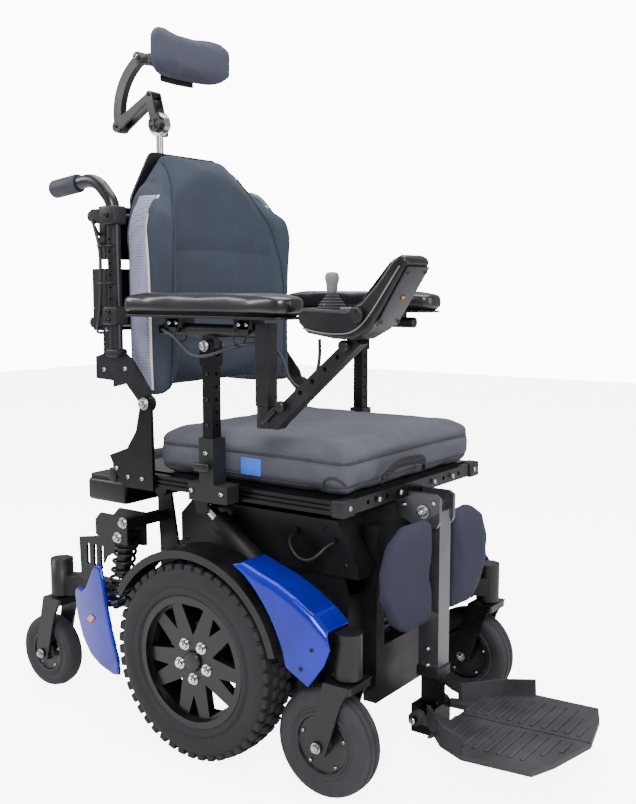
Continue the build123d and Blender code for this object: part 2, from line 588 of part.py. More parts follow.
with BuildPart() as seat_frame:
    for side, _ in SIDES:
        bar((side * rail_inner, side * RAIL_HALF), (RAIL_FRONT, RAIL_REAR), rail_z)
        for groove in (7, 15):
            groove_z = (SEAT_RAIL_BOTTOM + groove, SEAT_RAIL_BOTTOM + groove + 4)
            bar((side * (RAIL_HALF - 4), side * RAIL_HALF), (RAIL_FRONT + 26, RAIL_REAR), groove_z, mode=Mode.SUBTRACT)
    bar((-rail_inner, rail_inner), (RAIL_FRONT, RAIL_FRONT + 25), rail_z)
    bar((-rail_inner, rail_inner), (RAIL_REAR - 25, RAIL_REAR), rail_z)
    bar((-rail_inner, rail_inner), (ACTUATOR_HEAD[0] - 12, ACTUATOR_HEAD[0] + 12), rail_z)
    bar((-rail_inner, rail_inner), (TILT_PIVOT[0] - 26, TILT_PIVOT[0] + 26), (SEAT_RAIL_BOTTOM, SEAT_RAIL_BOTTOM + 10))
    pan = rail_inner + PAN_LAP
    bar((-pan, pan), (RAIL_FRONT + 25 - PAN_LAP, RAIL_REAR - 25 + PAN_LAP), (SEAT_RAIL_TOP, SEAT_HEIGHT - SLIP))
    for pair in ACCESSORY_PAIRS:
        with BuildSketch(FRONT.offset(-RAIL_FRONT)):
            with Locations((0, SEAT_RAIL_BOTTOM + RAIL_DEPTH / 2)):
                with GridLocations(pair, 0, 2, 1):
                    Circle(ACCESSORY_HOLE)
        extrude(amount=-30, dir=FRONT.z_dir, mode=Mode.SUBTRACT)
    for side, _ in SIDES:
        side_plate(pivot_plate, side * RAIL_HALF, side * (RAIL_HALF + PIVOT_PLATE))
        disc_x(RECLINE_PIVOT, side * RAIL_HALF, side * (RAIL_HALF + PIVOT_PLATE), 15)
        pin_bore = RECLINE_PIN_RADIUS + RUNNING
        disc_x(RECLINE_PIVOT, side * RAIL_HALF, side * (RAIL_HALF + PIVOT_PLATE), pin_bore, Mode.SUBTRACT)
        lug_inner = frame_outer + 2.5
        side_plate(tilt_lug, side * lug_inner, side * (lug_inner + 8))
        disc_x(TILT_PIVOT, side * lug_inner, side * (lug_inner + 8), 18)
        disc_x(TILT_PIVOT, side * (FRAME_HALF - 3), side * (lug_inner + 2), TILT_PIN_RADIUS)
        for lug in (-1, 1):
            lug_x = side * ACTUATOR_X + lug * 11
            side_plate(head_lug, lug_x, lug_x + lug * 6)
save(seat_frame, "seat_frame")

cushion_front = RAIL_FRONT - 3
with BuildPart() as seat_cushion:
    bar(
        (-SEAT_WIDTH / 2, SEAT_WIDTH / 2),
        (cushion_front, cushion_front + SEAT_DEPTH),
        (SEAT_HEIGHT, SEAT_HEIGHT + CUSHION_THICKNESS),
        corner=34,
    )
    fillet(seat_cushion.edges().group_by(Axis.Z)[-1], radius=20)
save(seat_cushion, "seat_cushion")

with BuildPart() as power_module:
    bar((-165, 165), (286, 398), (398, 452), corner=12)
    bar((-120, 120), (RAIL_REAR + 2, 300), (SEAT_RAIL_BOTTOM - 22, SEAT_RAIL_BOTTOM - 4), corner=3)
    bar((-120, 120), (RAIL_REAR, RAIL_REAR + 8), (SEAT_RAIL_BOTTOM - 22, SEAT_RAIL_TOP), corner=2)
    rod((-160, 322, 474), (160, 322, 474), 22)
save(power_module, "power_module")


def receiver(side, post_y):
    """The clamp on a seat rail and the square socket that an arm post slides in."""
    half = POST_SIZE / 2 + POST_CLEARANCE + RECEIVER_WALL
    bar((side * RAIL_HALF, side * (ARM_X + half)), (post_y - 44, post_y + 44), (SEAT_RAIL_BOTTOM - 1, RECEIVER_Z[0]), corner=4)
    bar((side * (ARM_X - half), side * (ARM_X + half)), (post_y - half, post_y + half), RECEIVER_Z)
    bore = POST_SIZE / 2 + POST_CLEARANCE
    bore_z = (SEAT_RAIL_BOTTOM + 8, RECEIVER_Z[1])
    bar((side * (ARM_X - bore), side * (ARM_X + bore)), (post_y - bore, post_y + bore), bore_z, mode=Mode.SUBTRACT)


with BuildPart() as arm_receivers:
    receiver(-1, RIGHT_POST_Y)
    receiver(1, LEFT_POST_Y)
save(arm_receivers, "arm_receivers")

# --- Back ---------------------------------------------------------------------------------------

cane_bottom = 700
back_plate = [
    (RECLINE_PIVOT[0] - 13, RECLINE_PIVOT[1] - 8), (RECLINE_PIVOT[0] + 13, RECLINE_PIVOT[1] - 10),
    (206, 652), (240, 644), (240, 656), (286, 658), (286, 700), (264, 706), (264, 768), (220, 768),
    (220, 716), (190, 696), (150, 648),
]
cane_route = [(CANE_Y, cane_bottom), (CANE_Y, 985), (275, 1031), (386, 1018)]
cane_radii = [45, 55]
cross_bar_y = BACK_REAR + SLIP + SHELL_THICKNESS + 12
back_inner = RAIL_HALF - SIDE_GAP
with BuildPart() as back_canes:
    for side, _ in SIDES:
        side_plate(back_plate, side * (back_inner - 6.5), side * back_inner)
        disc_x(RECLINE_PIVOT, side * (back_inner - 6.5), side * back_inner, 15)
        disc_x(RECLINE_PIVOT, side * (back_inner - 2), side * (RAIL_HALF + PIVOT_PLATE + 3), RECLINE_PIN_RADIUS)
        route = [at(side * CANE_X, y, z) for y, z in cane_route]
        with BuildLine() as cane_line:
            FilletPolyline(*route, radius=cane_radii)
        with BuildSketch(Plane(origin=route[0], z_dir=(0, 0, 1))):
            Circle(CANE_RADIUS)
        sweep(path=cane_line.line)
    for z in (764, 962):
        rod((-CANE_X - 6, cross_bar_y, z), (CANE_X + 6, cross_bar_y, z), 10)
        for side, _ in SIDES:
            bar((side * (CANE_X - 6), side * (CANE_X + 6)), (CANE_Y, cross_bar_y), (z - 13, z + 13))
    with BuildSketch(SIDE.offset(-CANE_X - 20)):
        with Locations((CANE_Y, 863)):
            with GridLocations(0, 22, 1, 6):
                Circle(2.5)
    extrude(amount=2 * CANE_X + 40, mode=Mode.SUBTRACT)
save(back_canes, "back_canes")

with BuildPart() as push_grips:
    grip_slope = (cane_route[3][1] - cane_route[2][1]) / (cane_route[3][0] - cane_route[2][0])
    start = (322, cane_route[2][1] + grip_slope * (322 - cane_route[2][0]))
    for side, _ in SIDES:
        x = side * CANE_X
        tip = (cane_route[3][0] + 6, cane_route[3][1] + grip_slope * 6)
        rod((x, *start), (x, *tip), GRIP_RADIUS)
        rod((x, *start), (x, *cane_route[3]), CANE_RADIUS + RUNNING, Mode.SUBTRACT)
save(push_grips, "push_grips")

back_top = BACK_BOTTOM + BACK_HEIGHT
shell_front = BACK_REAR + SLIP
shell_rear = shell_front + SHELL_THICKNESS
cover_front = cross_bar_y + 12
with BuildPart() as back_shell:
    with BuildSketch(FRONT.offset(-shell_front)):
        with BuildLine():
            Polyline(
                (-150, BACK_BOTTOM + 20), (-150, back_top - 100), (-96, back_top - 8), (96, back_top - 8),
                (150, back_top - 100), (150, BACK_BOTTOM + 20), close=True,
            )
        make_face()
        fillet(vertices(), radius=20)
    extrude(amount=-SHELL_THICKNESS, dir=FRONT.z_dir)
    bar((-60, 60), (shell_rear - 1, cover_front + 2), (790, 930))
    bar((-186, 186), (cover_front, 350), (746, 866), corner=10)
    bar((-186, 186), (cover_front, 328), (884, 985), corner=10)
    bar((-60, 60), (cover_front, 318), (860, 890))
    bar((-24, 24), (cover_front, 358), (946, 1044), corner=6)
    rod((0, HEAD_POST[0], 936), (0, HEAD_POST[0], 1045), HEAD_POST_RADIUS + RUNNING, Mode.SUBTRACT)
save(back_shell, "back_shell")

back_plan = [
    (-BACK_HALF, BACK_FRONT), (-BACK_HALF, 222), (-148, BACK_REAR), (148, BACK_REAR), (BACK_HALF, 222),
    (BACK_HALF, BACK_FRONT), (172, BACK_FRONT), (128, 192), (0, 208), (-128, 192), (-172, BACK_FRONT),
]
with BuildPart() as back_cushion:
    with BuildSketch(TOP.offset(BACK_BOTTOM)):
        with BuildLine():
            Polyline(*back_plan, close=True)
        make_face()
        fillet(vertices(), radius=14)
    extrude(amount=BACK_HEIGHT)
    with BuildSketch(FRONT.offset(-BACK_REAR - 10)):
        with BuildLine():
            Polyline(
                (-BACK_HALF - 1, BACK_BOTTOM - 1), (-BACK_HALF - 1, back_top - 165), (-185, back_top - 120),
                (-88, back_top), (88, back_top), (185, back_top - 120), (BACK_HALF + 1, back_top - 165),
                (BACK_HALF + 1, BACK_BOTTOM - 1), close=True,
            )
        make_face()
    extrude(amount=400, dir=FRONT.z_dir, mode=Mode.INTERSECT)
    sweep_back = [(BACK_FRONT - 20, back_top - 160), (BACK_REAR - 22, back_top + 10), (BACK_FRONT - 20, back_top + 10)]
    side_plate(sweep_back, -BACK_HALF - 10, BACK_HALF + 10, Mode.SUBTRACT)
save(back_cushion, "back_cushion")

# --- Headrest -----------------------------------------------------------------------------------

with BuildPart() as headrest_post:
    rod((0, HEAD_POST[0], 958), (0, *HEAD_POST), HEAD_POST_RADIUS)
    disc_x(HEAD_POST, -HEAD_HALF, HEAD_HALF, 24)
    disc_x(HEAD_POST, -20, 20, 5)
save(headrest_post, "headrest_post")

with BuildPart() as headrest_lower_link:
    for side, _ in SIDES:
        inner, outer = side * HEAD_CHEEK[0], side * HEAD_CHEEK[1]
        disc_x(HEAD_POST, inner, outer, 17)
        side_plate([(330, 1170), (345, 1228), (364, 1224), (350, 1170)], inner, outer)
        side_plate([(345, 1218), (352, 1230), (460, 1176), (446, 1158)], inner, outer)
        disc_x(HEAD_LOW, inner, outer, 12)
        disc_x(HEAD_POST, inner, outer, 5 + RUNNING, Mode.SUBTRACT)
    disc_x((353, 1224), -HEAD_CHEEK[1], HEAD_CHEEK[1], 8)
    disc_x(HEAD_LOW, -HEAD_CHEEK[1], HEAD_CHEEK[1], 5)
save(headrest_lower_link, "headrest_lower_link")

with BuildPart() as headrest_upper_link:
    disc_x(HEAD_LOW, -HEAD_HALF, HEAD_HALF, 13)
    with BuildSketch(SIDE.offset(-HEAD_HALF)):
        with BuildLine():
            ThreePointArc((462, 1170), (456, 1240), (392, 1310))
            Line((392, 1310), (378, 1294))
            ThreePointArc((378, 1294), (434, 1232), (438, 1168))
            Line((438, 1168), (462, 1170))
        make_face()
    extrude(amount=2 * HEAD_HALF, dir=SIDE.z_dir)
    disc_x(HEAD_TOP, -HEAD_HALF, HEAD_HALF, 12)
    disc_x(HEAD_TOP, -20, 20, 5)
    disc_x(HEAD_LOW, -HEAD_HALF, HEAD_HALF, 5 + RUNNING, Mode.SUBTRACT)
save(headrest_upper_link, "headrest_upper_link")

with BuildPart() as headrest_pad:
    with BuildSketch(TOP.offset(1238)):
        with BuildLine():
            ThreePointArc((-114, 232), (0, 252), (114, 232))
            Line((114, 232), (114, 256))
            ThreePointArc((114, 256), (0, 292), (-114, 256))
            Line((-114, 256), (-114, 232))
        make_face()
        fillet(vertices(), radius=10)
    extrude(amount=98, dir=TOP.z_dir)
    rod((0, 290, 1284), (0, 372, 1298), 9)
    for side, _ in SIDES:
        inner, outer = side * HEAD_CHEEK[0], side * HEAD_CHEEK[1]
        disc_x(HEAD_TOP, inner, outer, 12)
        side_plate([(385, 1290), (352, 1286), (352, 1304), (385, 1313)], inner, outer)
    bar((-HEAD_CHEEK[1], HEAD_CHEEK[1]), (346, 362), (1284, 1306))
    for side, _ in SIDES:
        disc_x(HEAD_TOP, side * HEAD_CHEEK[0], side * HEAD_CHEEK[1], 5 + RUNNING, Mode.SUBTRACT)
    bar((-HEAD_CHEEK[0], HEAD_CHEEK[0]), (363, 400), (1270, 1330), mode=Mode.SUBTRACT)
save(headrest_pad, "headrest_pad")

# --- Arms ---------------------------------------------------------------------------------------

for side, hand, post_y in ((-1, "right", RIGHT_POST_Y), (1, "left", LEFT_POST_Y)):
    x = side * ARM_X
    half = POST_SIZE / 2
    pivot = (post_y, ARM_PIVOT_Z)
    with BuildPart() as arm_post:
        bar((x - half, x + half), (post_y - half, post_y + half), (SEAT_RAIL_BOTTOM + 8.5, POST_TOP))
        bar((x - 15, x + 15), (post_y - 13, post_y + 13), (POST_TOP - 16, POST_TOP))
        for ear in (-1, 1):
            side_plate(
                [(post_y - 13, POST_TOP - 4), (post_y + 13, POST_TOP - 4), (post_y + 13, ARM_PIVOT_Z),
                 (post_y - 13, ARM_PIVOT_Z)],
                x + ear * 7.5,
                x + ear * 15,
            )
            disc_x(pivot, x + ear * 7.5, x + ear * 15, 13)
        disc_x(pivot, x - 17, x + 17, 5)
        for hole in range(5):
            hole_z = RECEIVER_Z[1] + 22 + hole * 22
            rod((x, post_y - 20, hole_z), (x, post_y + 20, hole_z), 3, Mode.SUBTRACT)
    save(arm_post, f"arm_post_{hand}")

    with BuildPart() as arm_tube:
        tube_front = post_y - 120
        rod((x, tube_front - 9, ARM_TUBE_Z), (x, post_y + 105, ARM_TUBE_Z), ARM_TUBE_RADIUS)
        rod((x, post_y + 40, ARM_TUBE_Z), (x, post_y + 105, ARM_TUBE_Z), ARM_TUBE_RADIUS - 2.5, Mode.SUBTRACT)
        side_plate(
            [(post_y - 13, ARM_PIVOT_Z), (post_y - 13, ARM_TUBE_Z), (post_y + 13, ARM_TUBE_Z),
             (post_y + 13, ARM_PIVOT_Z)],
            x - 7,
            x + 7,
        )
        disc_x(pivot, x - 7, x + 7, 13)
        disc_x(pivot, x - 7, x + 7, 5 + RUNNING, Mode.SUBTRACT)
        for y in (post_y - 84, post_y + 72):
            bar((x - 16, x + 16), (y - 20, y + 20), (ARM_TUBE_Z + 4, PAD_Z[0] - SLIP))
        if side < 0:
            bar((x - 14, x + 14), (SWING_Y - 14, SWING_Y + 14), (SWING_POST_Z[0], SWING_POST_Z[1] + 6), corner=4)
            swing_bore = SWING_PIN_RADIUS + RUNNING
            rod((x, SWING_Y, SWING_POST_Z[0]), (x, SWING_Y, SWING_POST_Z[0] + 40), swing_bore, Mode.SUBTRACT)
            bar((x - 22, x - 8), (76, 92), (ARM_TUBE_Z - 7, ARM_TUBE_Z + 7))
    save(arm_tube, f"arm_tube_{hand}")

    with BuildPart() as arm_pad:
        bar(
            (x - PAD_WIDTH / 2, x + PAD_WIDTH / 2),
            (post_y + PAD_FRONT, post_y + PAD_REAR),
            PAD_Z,
            corner=28,
        )
        fillet(arm_pad.edges().group_by(Axis.Z)[-1], radius=16)
    save(arm_pad, f"arm_pad_{hand}")

# --- Joystick on the right arm --------------------------------------------------------------------

link_rail = [(-158, 601), (-158, 624), (-170, 632), (-318, 757), (-336, 745), (-186, 612), (-176, 601)]
module_outline = [
    (-232, MODULE_TOP), (-234, 770), (-254, 756), (-332, 750), (-368, 770), (-430, 866),
    (-422, 879), (-404, 873), (-342, 808), (-318, MODULE_TOP),
]
with BuildPart() as joystick_link:
    rod((-ARM_X, SWING_Y, 601), (-ARM_X, SWING_Y, SWING_POST_Z[0] - SIDE_GAP), 16)
    rod((-ARM_X, SWING_Y, 620), (-ARM_X, SWING_Y, SWING_POST_Z[0] + 36), SWING_PIN_RADIUS)
    side_plate(link_rail, -ARM_X - 11, -ARM_X + 11)
    with BuildSketch(SIDE.offset(-ARM_X - 30)):
        with Locations((-222, 664), (-246, 684), (-270, 704), (-294, 724)):
            Circle(4)
    extrude(amount=60, mode=Mode.SUBTRACT)
save(joystick_link, "joystick_link")

with BuildPart() as joystick_module:
    side_plate(module_outline, -ARM_X - MODULE_HALF, -ARM_X + MODULE_HALF)
    fillet(joystick_module.edges().filter_by(Axis.X), radius=4)
    side_plate(link_rail, -ARM_X - 14, -ARM_X + 14, Mode.SUBTRACT)
    disc_x(DIAL, -ARM_X - MODULE_HALF, -ARM_X - MODULE_HALF + 7, 4 + RUNNING, Mode.SUBTRACT)
    rod((LEAD_GLAND[0], LEAD_GLAND[1], 750), (LEAD_GLAND[0], LEAD_GLAND[1], 775), 5)
    for side in (-1, 1):
        x = -ARM_X + side * 19
        bar((x - 3, x + 3), (STICK_Y - 5, STICK_Y + 5), (MODULE_TOP - 2, GIMBAL_Z + 5))
        disc_x((STICK_Y, GIMBAL_Z), x - 4, x + 4, 2 + RUNNING, Mode.SUBTRACT)
save(joystick_module, "joystick_module")

with BuildPart() as joystick_gimbal:
    rod((-ARM_X, STICK_Y, GIMBAL_Z - 3), (-ARM_X, STICK_Y, GIMBAL_Z + 3), 13)
    rod((-ARM_X, STICK_Y, GIMBAL_Z - 3), (-ARM_X, STICK_Y, GIMBAL_Z + 3), 8, Mode.SUBTRACT)
    for side in (-1, 1):
        disc_x((STICK_Y, GIMBAL_Z), -ARM_X + side * 12.5, -ARM_X + side * 21, 2)
    rod((-ARM_X, STICK_Y - 14, GIMBAL_Z), (-ARM_X, STICK_Y + 14, GIMBAL_Z), 1.5 + RUNNING, Mode.SUBTRACT)
save(joystick_gimbal, "joystick_gimbal")

with BuildPart() as joystick_stick:
    rod((-ARM_X, STICK_Y, GIMBAL_Z - 4), (-ARM_X, STICK_Y, STICK_TOP - 19), 4)
    rod((-ARM_X, STICK_Y - 12, GIMBAL_Z), (-ARM_X, STICK_Y + 12, GIMBAL_Z), 1.5)
    rod((-ARM_X, STICK_Y, STICK_TOP - 30), (-ARM_X, STICK_Y, STICK_TOP), 11)
    fillet(joystick_stick.edges().group_by(Axis.Z)[-1], radius=8)
save(joystick_stick, "joystick_stick")

with BuildPart() as speed_dial:
    dial_face = -ARM_X - MODULE_HALF
    disc_x(DIAL, dial_face - 8, dial_face - SIDE_GAP, 12)
    disc_x(DIAL, dial_face - SIDE_GAP, dial_face + 6, 4)
save(speed_dial, "speed_dial")

# --- Leg rest -----------------------------------------------------------------------------------

housing_inner = LEG_TUBE / 2 + 1
with BuildPart() as leg_housing:
    cheek = [
        (-258, SEAT_RAIL_BOTTOM), (-258, 430), (-300, 412), (-340, 412), (-346, 424), (-346, 466), (-336, 472),
        (RAIL_FRONT - SLIP, 472), (RAIL_FRONT - SLIP, SEAT_RAIL_BOTTOM),
    ]
    for side, _ in SIDES:
        side_plate(cheek, side * housing_inner, side * (housing_inner + 8))
    bar((-housing_inner - 8, housing_inner + 8), (-284, -258), (436, SEAT_RAIL_BOTTOM))
    bar((-housing_inner - 8, housing_inner + 8), (-298, -258), (462, SEAT_RAIL_BOTTOM))
    disc_x(LEG_PIVOT, -housing_inner - 10, housing_inner + 10, LEG_PIN_RADIUS)
save(leg_housing, "leg_housing")

with BuildPart() as leg_tube:
    half = LEG_TUBE / 2
    bar((-half, half), (LEG_TUBE_Y - half, LEG_TUBE_Y + half), (LEG_TUBE_END, LEG_PIVOT[1]))
    disc_x(LEG_PIVOT, -half, half, 17)
    disc_x(LEG_PIVOT, -half, half, LEG_PIN_RADIUS + RUNNING, Mode.SUBTRACT)
    slot = SLIDER / 2 + POST_CLEARANCE
    bar((-slot, slot), (LEG_TUBE_Y - slot, LEG_TUBE_Y + slot), (LEG_TUBE_END, 410), mode=Mode.SUBTRACT)
    bar((-120, 120), (LEG_TUBE_Y + half, LEG_TUBE_Y + half + 5), (300, 330))
save(leg_tube, "leg_tube")

with BuildPart() as leg_slider:
    half = SLIDER / 2
    bar((-half, half), (LEG_TUBE_Y - half, LEG_TUBE_Y + half), (SLIDER_END, 320))
    bar((-33, 33), (LEG_TUBE_Y - half - 4, LEG_TUBE_Y + half + 12), (FOOT_HINGE[1] - 34, FOOT_HINGE[1] + 16), corner=5)
    disc_x(FOOT_HINGE, -56, 56, FOOT_PIN_RADIUS)
save(leg_slider, "leg_slider")

foot_plane = Plane(origin=at(0, FOOT_HINGE[0], FOOT_HINGE[1]), x_dir=(1, 0, 0), z_dir=(0, 0, 1))
foot_plane = foot_plane.rotated((-FOOT_TILT, 0, 0))
for side, hand in SIDES:
    with BuildPart() as footplate:
        reach = FOOT_FRONT - FOOT_HINGE[0]
        sole = [
            (1.5, -62), (36, -62), (36, -14), (58, -14), (62, -32), (122, -88), (150, -142), (146, -262),
            (100, reach + 22), (1.5, reach),
        ]
        with BuildSketch(foot_plane.offset(-FOOT_PLATE / 2)):
            with BuildLine():
                Polyline(*[(side * x, y) for x, y in sole], close=True)
            make_face()
        extrude(amount=FOOT_PLATE, dir=foot_plane.z_dir)
        wall = [(58, -28), (62, -32), (122, -88), (150, -142), (146, -142), (118, -91), (60, -37), (58, -36)]
        with BuildSketch(foot_plane):
            with BuildLine():
                Polyline(*[(side * x, y) for x, y in wall], close=True)
            make_face()
        extrude(amount=34, dir=foot_plane.z_dir)
        disc_x(FOOT_HINGE, side * 36, side * 54, 13)
        disc_x(FOOT_HINGE, side * 30, side * 60, FOOT_PIN_RADIUS + RUNNING, Mode.SUBTRACT)
    save(footplate, f"footplate_{hand}")

with BuildPart() as calf_pads:
    pad_front = LEG_TUBE_Y + LEG_TUBE / 2 - 43
    pad_face = [(34, 242), (34, 436), (118, 436), (164, 410), (186, 362), (186, 316), (150, 262), (118, 242)]
    for side, _ in SIDES:
        with BuildSketch(FRONT.offset(-pad_front)):
            with BuildLine():
                Polyline(*[(side * x, z) for x, z in pad_face], close=True)
            make_face()
            fillet(vertices(), radius=12)
        extrude(amount=-38, dir=FRONT.z_dir)
save(calf_pads, "calf_pads")

# --- Leads ----------------------------------------------------------------------------------------


def lead(points, diameter):
    """A cable along straight runs joined by arcs as large as the runs allow."""
    route = [at(*point) for point in points]
    runs = [end - start for start, end in zip(route, route[1:])]
    radii = []
    for before, after in zip(runs, runs[1:]):
        half_turn = radians(before.get_angle(after)) / 2
        radii.append(0.45 * min(before.length, after.length) / tan(half_turn))
    with BuildLine() as line:
        FilletPolyline(*route, radius=radii)
    with BuildPart() as tube:
        with BuildSketch(Plane(origin=route[0], z_dir=runs[0])):
            Circle(diameter / 2)
        sweep(path=line.line)
    length = sum(edge.length for edge in line.line.edges())
    print("lead", round(length), "mm, radii", [round(radius) for radius in radii])
    print("volume", round(tube.part.volume), "section times length", round(pi * diameter**2 / 4 * length))
    return tube


JOYSTICK_LEAD = 6
joystick_lead = [
    (*LEAD_GLAND, 749), (-236, -240, 714), (-236, -226, 680), (-235, -196, 664), (-233, -172, 684),
    (-232, -163, 716), (-233, -134, 736), (-248, -100, 738), (-274, -72, 728), (-281, -38, 715),
    (-281, -4, 715), (-277, 28, 736), (-272, 54, 752), (-271, 75.5, 758),
]
save(lead(joystick_lead, JOYSTICK_LEAD), "joystick_cable")

CHARGER_LEAD = 5
charger_x = cover_side - CHARGER_GLAND
charger_lead = [
    (charger_x - 1, -128, 404), (charger_x - 20, -130, 400), (charger_x - 33, -142, 384), (charger_x - 35, -160, 368),
    (charger_x - 34, -182, 366), (charger_x - 32, -200, 378), (charger_x - 20, -208, 392), (charger_x - 1, -210, 396),
]
save(lead(charger_lead, CHARGER_LEAD), "base_cable")
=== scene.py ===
"""Power wheelchair: the pieces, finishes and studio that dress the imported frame."""

import logging
import math
from collections.abc import Iterator
from contextlib import contextmanager
from dataclasses import dataclass
from enum import Enum

import bpy
from mathutils import Matrix, Vector, kdtree


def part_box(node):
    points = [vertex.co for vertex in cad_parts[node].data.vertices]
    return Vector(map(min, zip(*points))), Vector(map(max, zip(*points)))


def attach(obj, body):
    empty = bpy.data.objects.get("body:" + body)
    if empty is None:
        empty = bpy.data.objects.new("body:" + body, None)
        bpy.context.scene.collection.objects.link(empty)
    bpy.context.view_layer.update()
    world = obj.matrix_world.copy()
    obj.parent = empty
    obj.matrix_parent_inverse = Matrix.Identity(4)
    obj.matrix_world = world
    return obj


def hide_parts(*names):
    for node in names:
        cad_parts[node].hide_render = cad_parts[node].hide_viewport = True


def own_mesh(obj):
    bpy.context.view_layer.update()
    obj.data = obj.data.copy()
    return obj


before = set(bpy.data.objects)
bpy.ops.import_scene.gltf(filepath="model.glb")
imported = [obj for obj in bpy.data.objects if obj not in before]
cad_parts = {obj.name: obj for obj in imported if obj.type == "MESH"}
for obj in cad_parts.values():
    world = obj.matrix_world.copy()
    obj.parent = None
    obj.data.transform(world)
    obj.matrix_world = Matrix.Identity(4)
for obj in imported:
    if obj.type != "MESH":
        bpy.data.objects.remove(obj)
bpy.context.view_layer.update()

AXLE_Y = 0.036
LOG = logging.getLogger("power_wheelchair")
Point = tuple[float, float, float]
Colour = tuple[float, float, float, float]


class Side(Enum):
    """The two sides of the chair, with the sign of their X."""

    LEFT = ("left", 1)
    RIGHT = ("right", -1)

    @property
    def hand(self) -> str:
        """The word that ends this side's node names."""
        return self.value[0]

    @property
    def sign(self) -> int:
        """+1 on the left and -1 on the right."""
        return self.value[1]


class Surface(Enum):
    """How a hard finish's fine relief was made."""

    SMOOTH = "smooth"
    CAST = "cast"
    MOULDED = "moulded"
    BRUSHED = "brushed"


class Cloth(Enum):
    """How a fabric is constructed."""

    WOVEN = "woven"
    STRETCH = "stretch"
    SPACER = "spacer"


def mm(x: float, y: float, z: float) -> Vector:
    """Turns millimetres, with y from the drive axle, into a point of the frame.

    Args:
        x: distance to the left of the centre line.
        y: distance behind the drive axle.
        z: height above the floor.

    Returns:
        The point in metres.
    """
    return Vector((x / 1000, y / 1000 + AXLE_Y, z / 1000))


def outward(sign: float) -> Vector:
    """The direction away from the chair's middle on one side, +1 on the left and -1 on the right."""
    return Vector((sign, 0, 0))


@contextmanager
def editing() -> Iterator[None]:
    """Holds the active piece in edit mode with all of it selected."""
    bpy.ops.object.mode_set(mode="EDIT")
    bpy.ops.mesh.select_all(action="SELECT")
    yield
    bpy.ops.object.mode_set(mode="OBJECT")


def linear(code: str) -> Colour:
    """Turns an sRGB hex colour into a linear one.

    Args:
        code: six hex digits.

    Returns:
        Linear red, green, blue and an alpha of 1.
    """
    parts = [int(code[i : i + 2], 16) / 255 for i in (0, 2, 4)]
    red, green, blue = [p / 12.92 if p <= 0.04045 else ((p + 0.055) / 1.055) ** 2.4 for p in parts]
    return (red, green, blue, 1.0)


def add(
    tree: bpy.types.NodeTree, kind: str, settings: dict | None = None, links: dict | None = None
) -> bpy.types.Node:
    """Adds one shader node.

    Args:
        tree: the material's node tree.
        kind: the node's type name.
        settings: values for its sockets, by name or number, or its own properties.
        links: output sockets to join to its inputs, by input name or number.

    Returns:
        The new node.
    """
    made = tree.nodes.new(kind)
    for key, value in (settings or {}).items():
        if isinstance(key, int) or key in made.inputs:
            made.inputs[key].default_value = value
        else:
            setattr(made, key, value)
    for key, source in (links or {}).items():
        tree.links.new(source, made.inputs[key])
    return made


# Edges sharper than this are rounded by a bevel modifier.
SHARP_EDGE = math.radians(50)

# --- Finishes ---------------------------------------------------------------------------------------


@dataclass(frozen=True)
class Hard:
    """A hard finish: paint, plated or bare metal, or moulded plastic."""

    name: str
    base: str
    worn: str
    roughness: float
    metallic: float = 0.0
    coat: float = 0.0
    surface: Surface = Surface.SMOOTH
    grain_mm: float = 1.5
    relief: float = 0.08
    mottle_mm: float = 60.0

    def make(self) -> bpy.types.Material:
        """Builds the material.

        Returns:
            The material, with colour variation, uneven gloss and fine relief.
        """
        material = bpy.data.materials.new(self.name)
        material.use_nodes = True
        tree = material.node_tree
        shader = tree.nodes["Principled BSDF"]
        shader.inputs["Metallic"].default_value = self.metallic
        shader.inputs["Coat Weight"].default_value = self.coat
        shader.inputs["Specular IOR Level"].default_value = 0.32
        shader.inputs["Coat Roughness"].default_value = 0.08
        place = add(tree, "ShaderNodeTexCoord").outputs["Object"]
        mottle = add(
            tree, "ShaderNodeTexNoise", {"Scale": 1000 / self.mottle_mm, "Detail": 5.0, "Roughness": 0.6},
            {"Vector": place}
        )
        spread = add(
            tree, "ShaderNodeMapRange", {"From Min": 0.35, "From Max": 0.72},
            {"Value": mottle.outputs["Fac"]}
        )
        tint = add(
            tree,
            "ShaderNodeMix",
            {"data_type": "RGBA", 6: linear(self.base), 7: linear(self.worn)},
            {"Factor": spread.outputs["Result"]},
        )
        tree.links.new(tint.outputs[2], shader.inputs["Base Color"])
        gloss = add(
            tree,
            "ShaderNodeMapRange",
            {
                "From Min": 0.3, "From Max": 0.75, "To Min": self.roughness * 0.85,
                "To Max": min(1.0, self.roughness * 1.25)
            },
            {"Value": mottle.outputs["Fac"]},
        )
        tree.links.new(gloss.outputs["Result"], shader.inputs["Roughness"])
        if self.surface is Surface.BRUSHED:
            stretch = add(tree, "ShaderNodeMapping", {"Scale": (1.0, 1.0, 0.04)}, {"Vector": place})
            grain = add(
                tree, "ShaderNodeTexNoise", {"Scale": 1000 / self.grain_mm, "Detail": 2.0},
                {"Vector": stretch.outputs[0]}
            )
            height = grain.outputs["Fac"]
        elif self.surface is Surface.CAST:
            grain = add(
                tree, "ShaderNodeTexNoise", {"Scale": 1000 / self.grain_mm, "Detail": 4.0},
                {"Vector": place}
            )
            height = grain.outputs["Fac"]
        else:
            grain = add(tree, "ShaderNodeTexVoronoi", {"Scale": 1000 / self.grain_mm}, {"Vector": place})
            height = grain.outputs["Distance"]
        bump = add(
            tree, "ShaderNodeBump", {"Strength": self.relief, "Distance": self.grain_mm / 4000},
            {"Height": height}
        )
        tree.links.new(bump.outputs["Normal"], shader.inputs["Normal"])
        return material


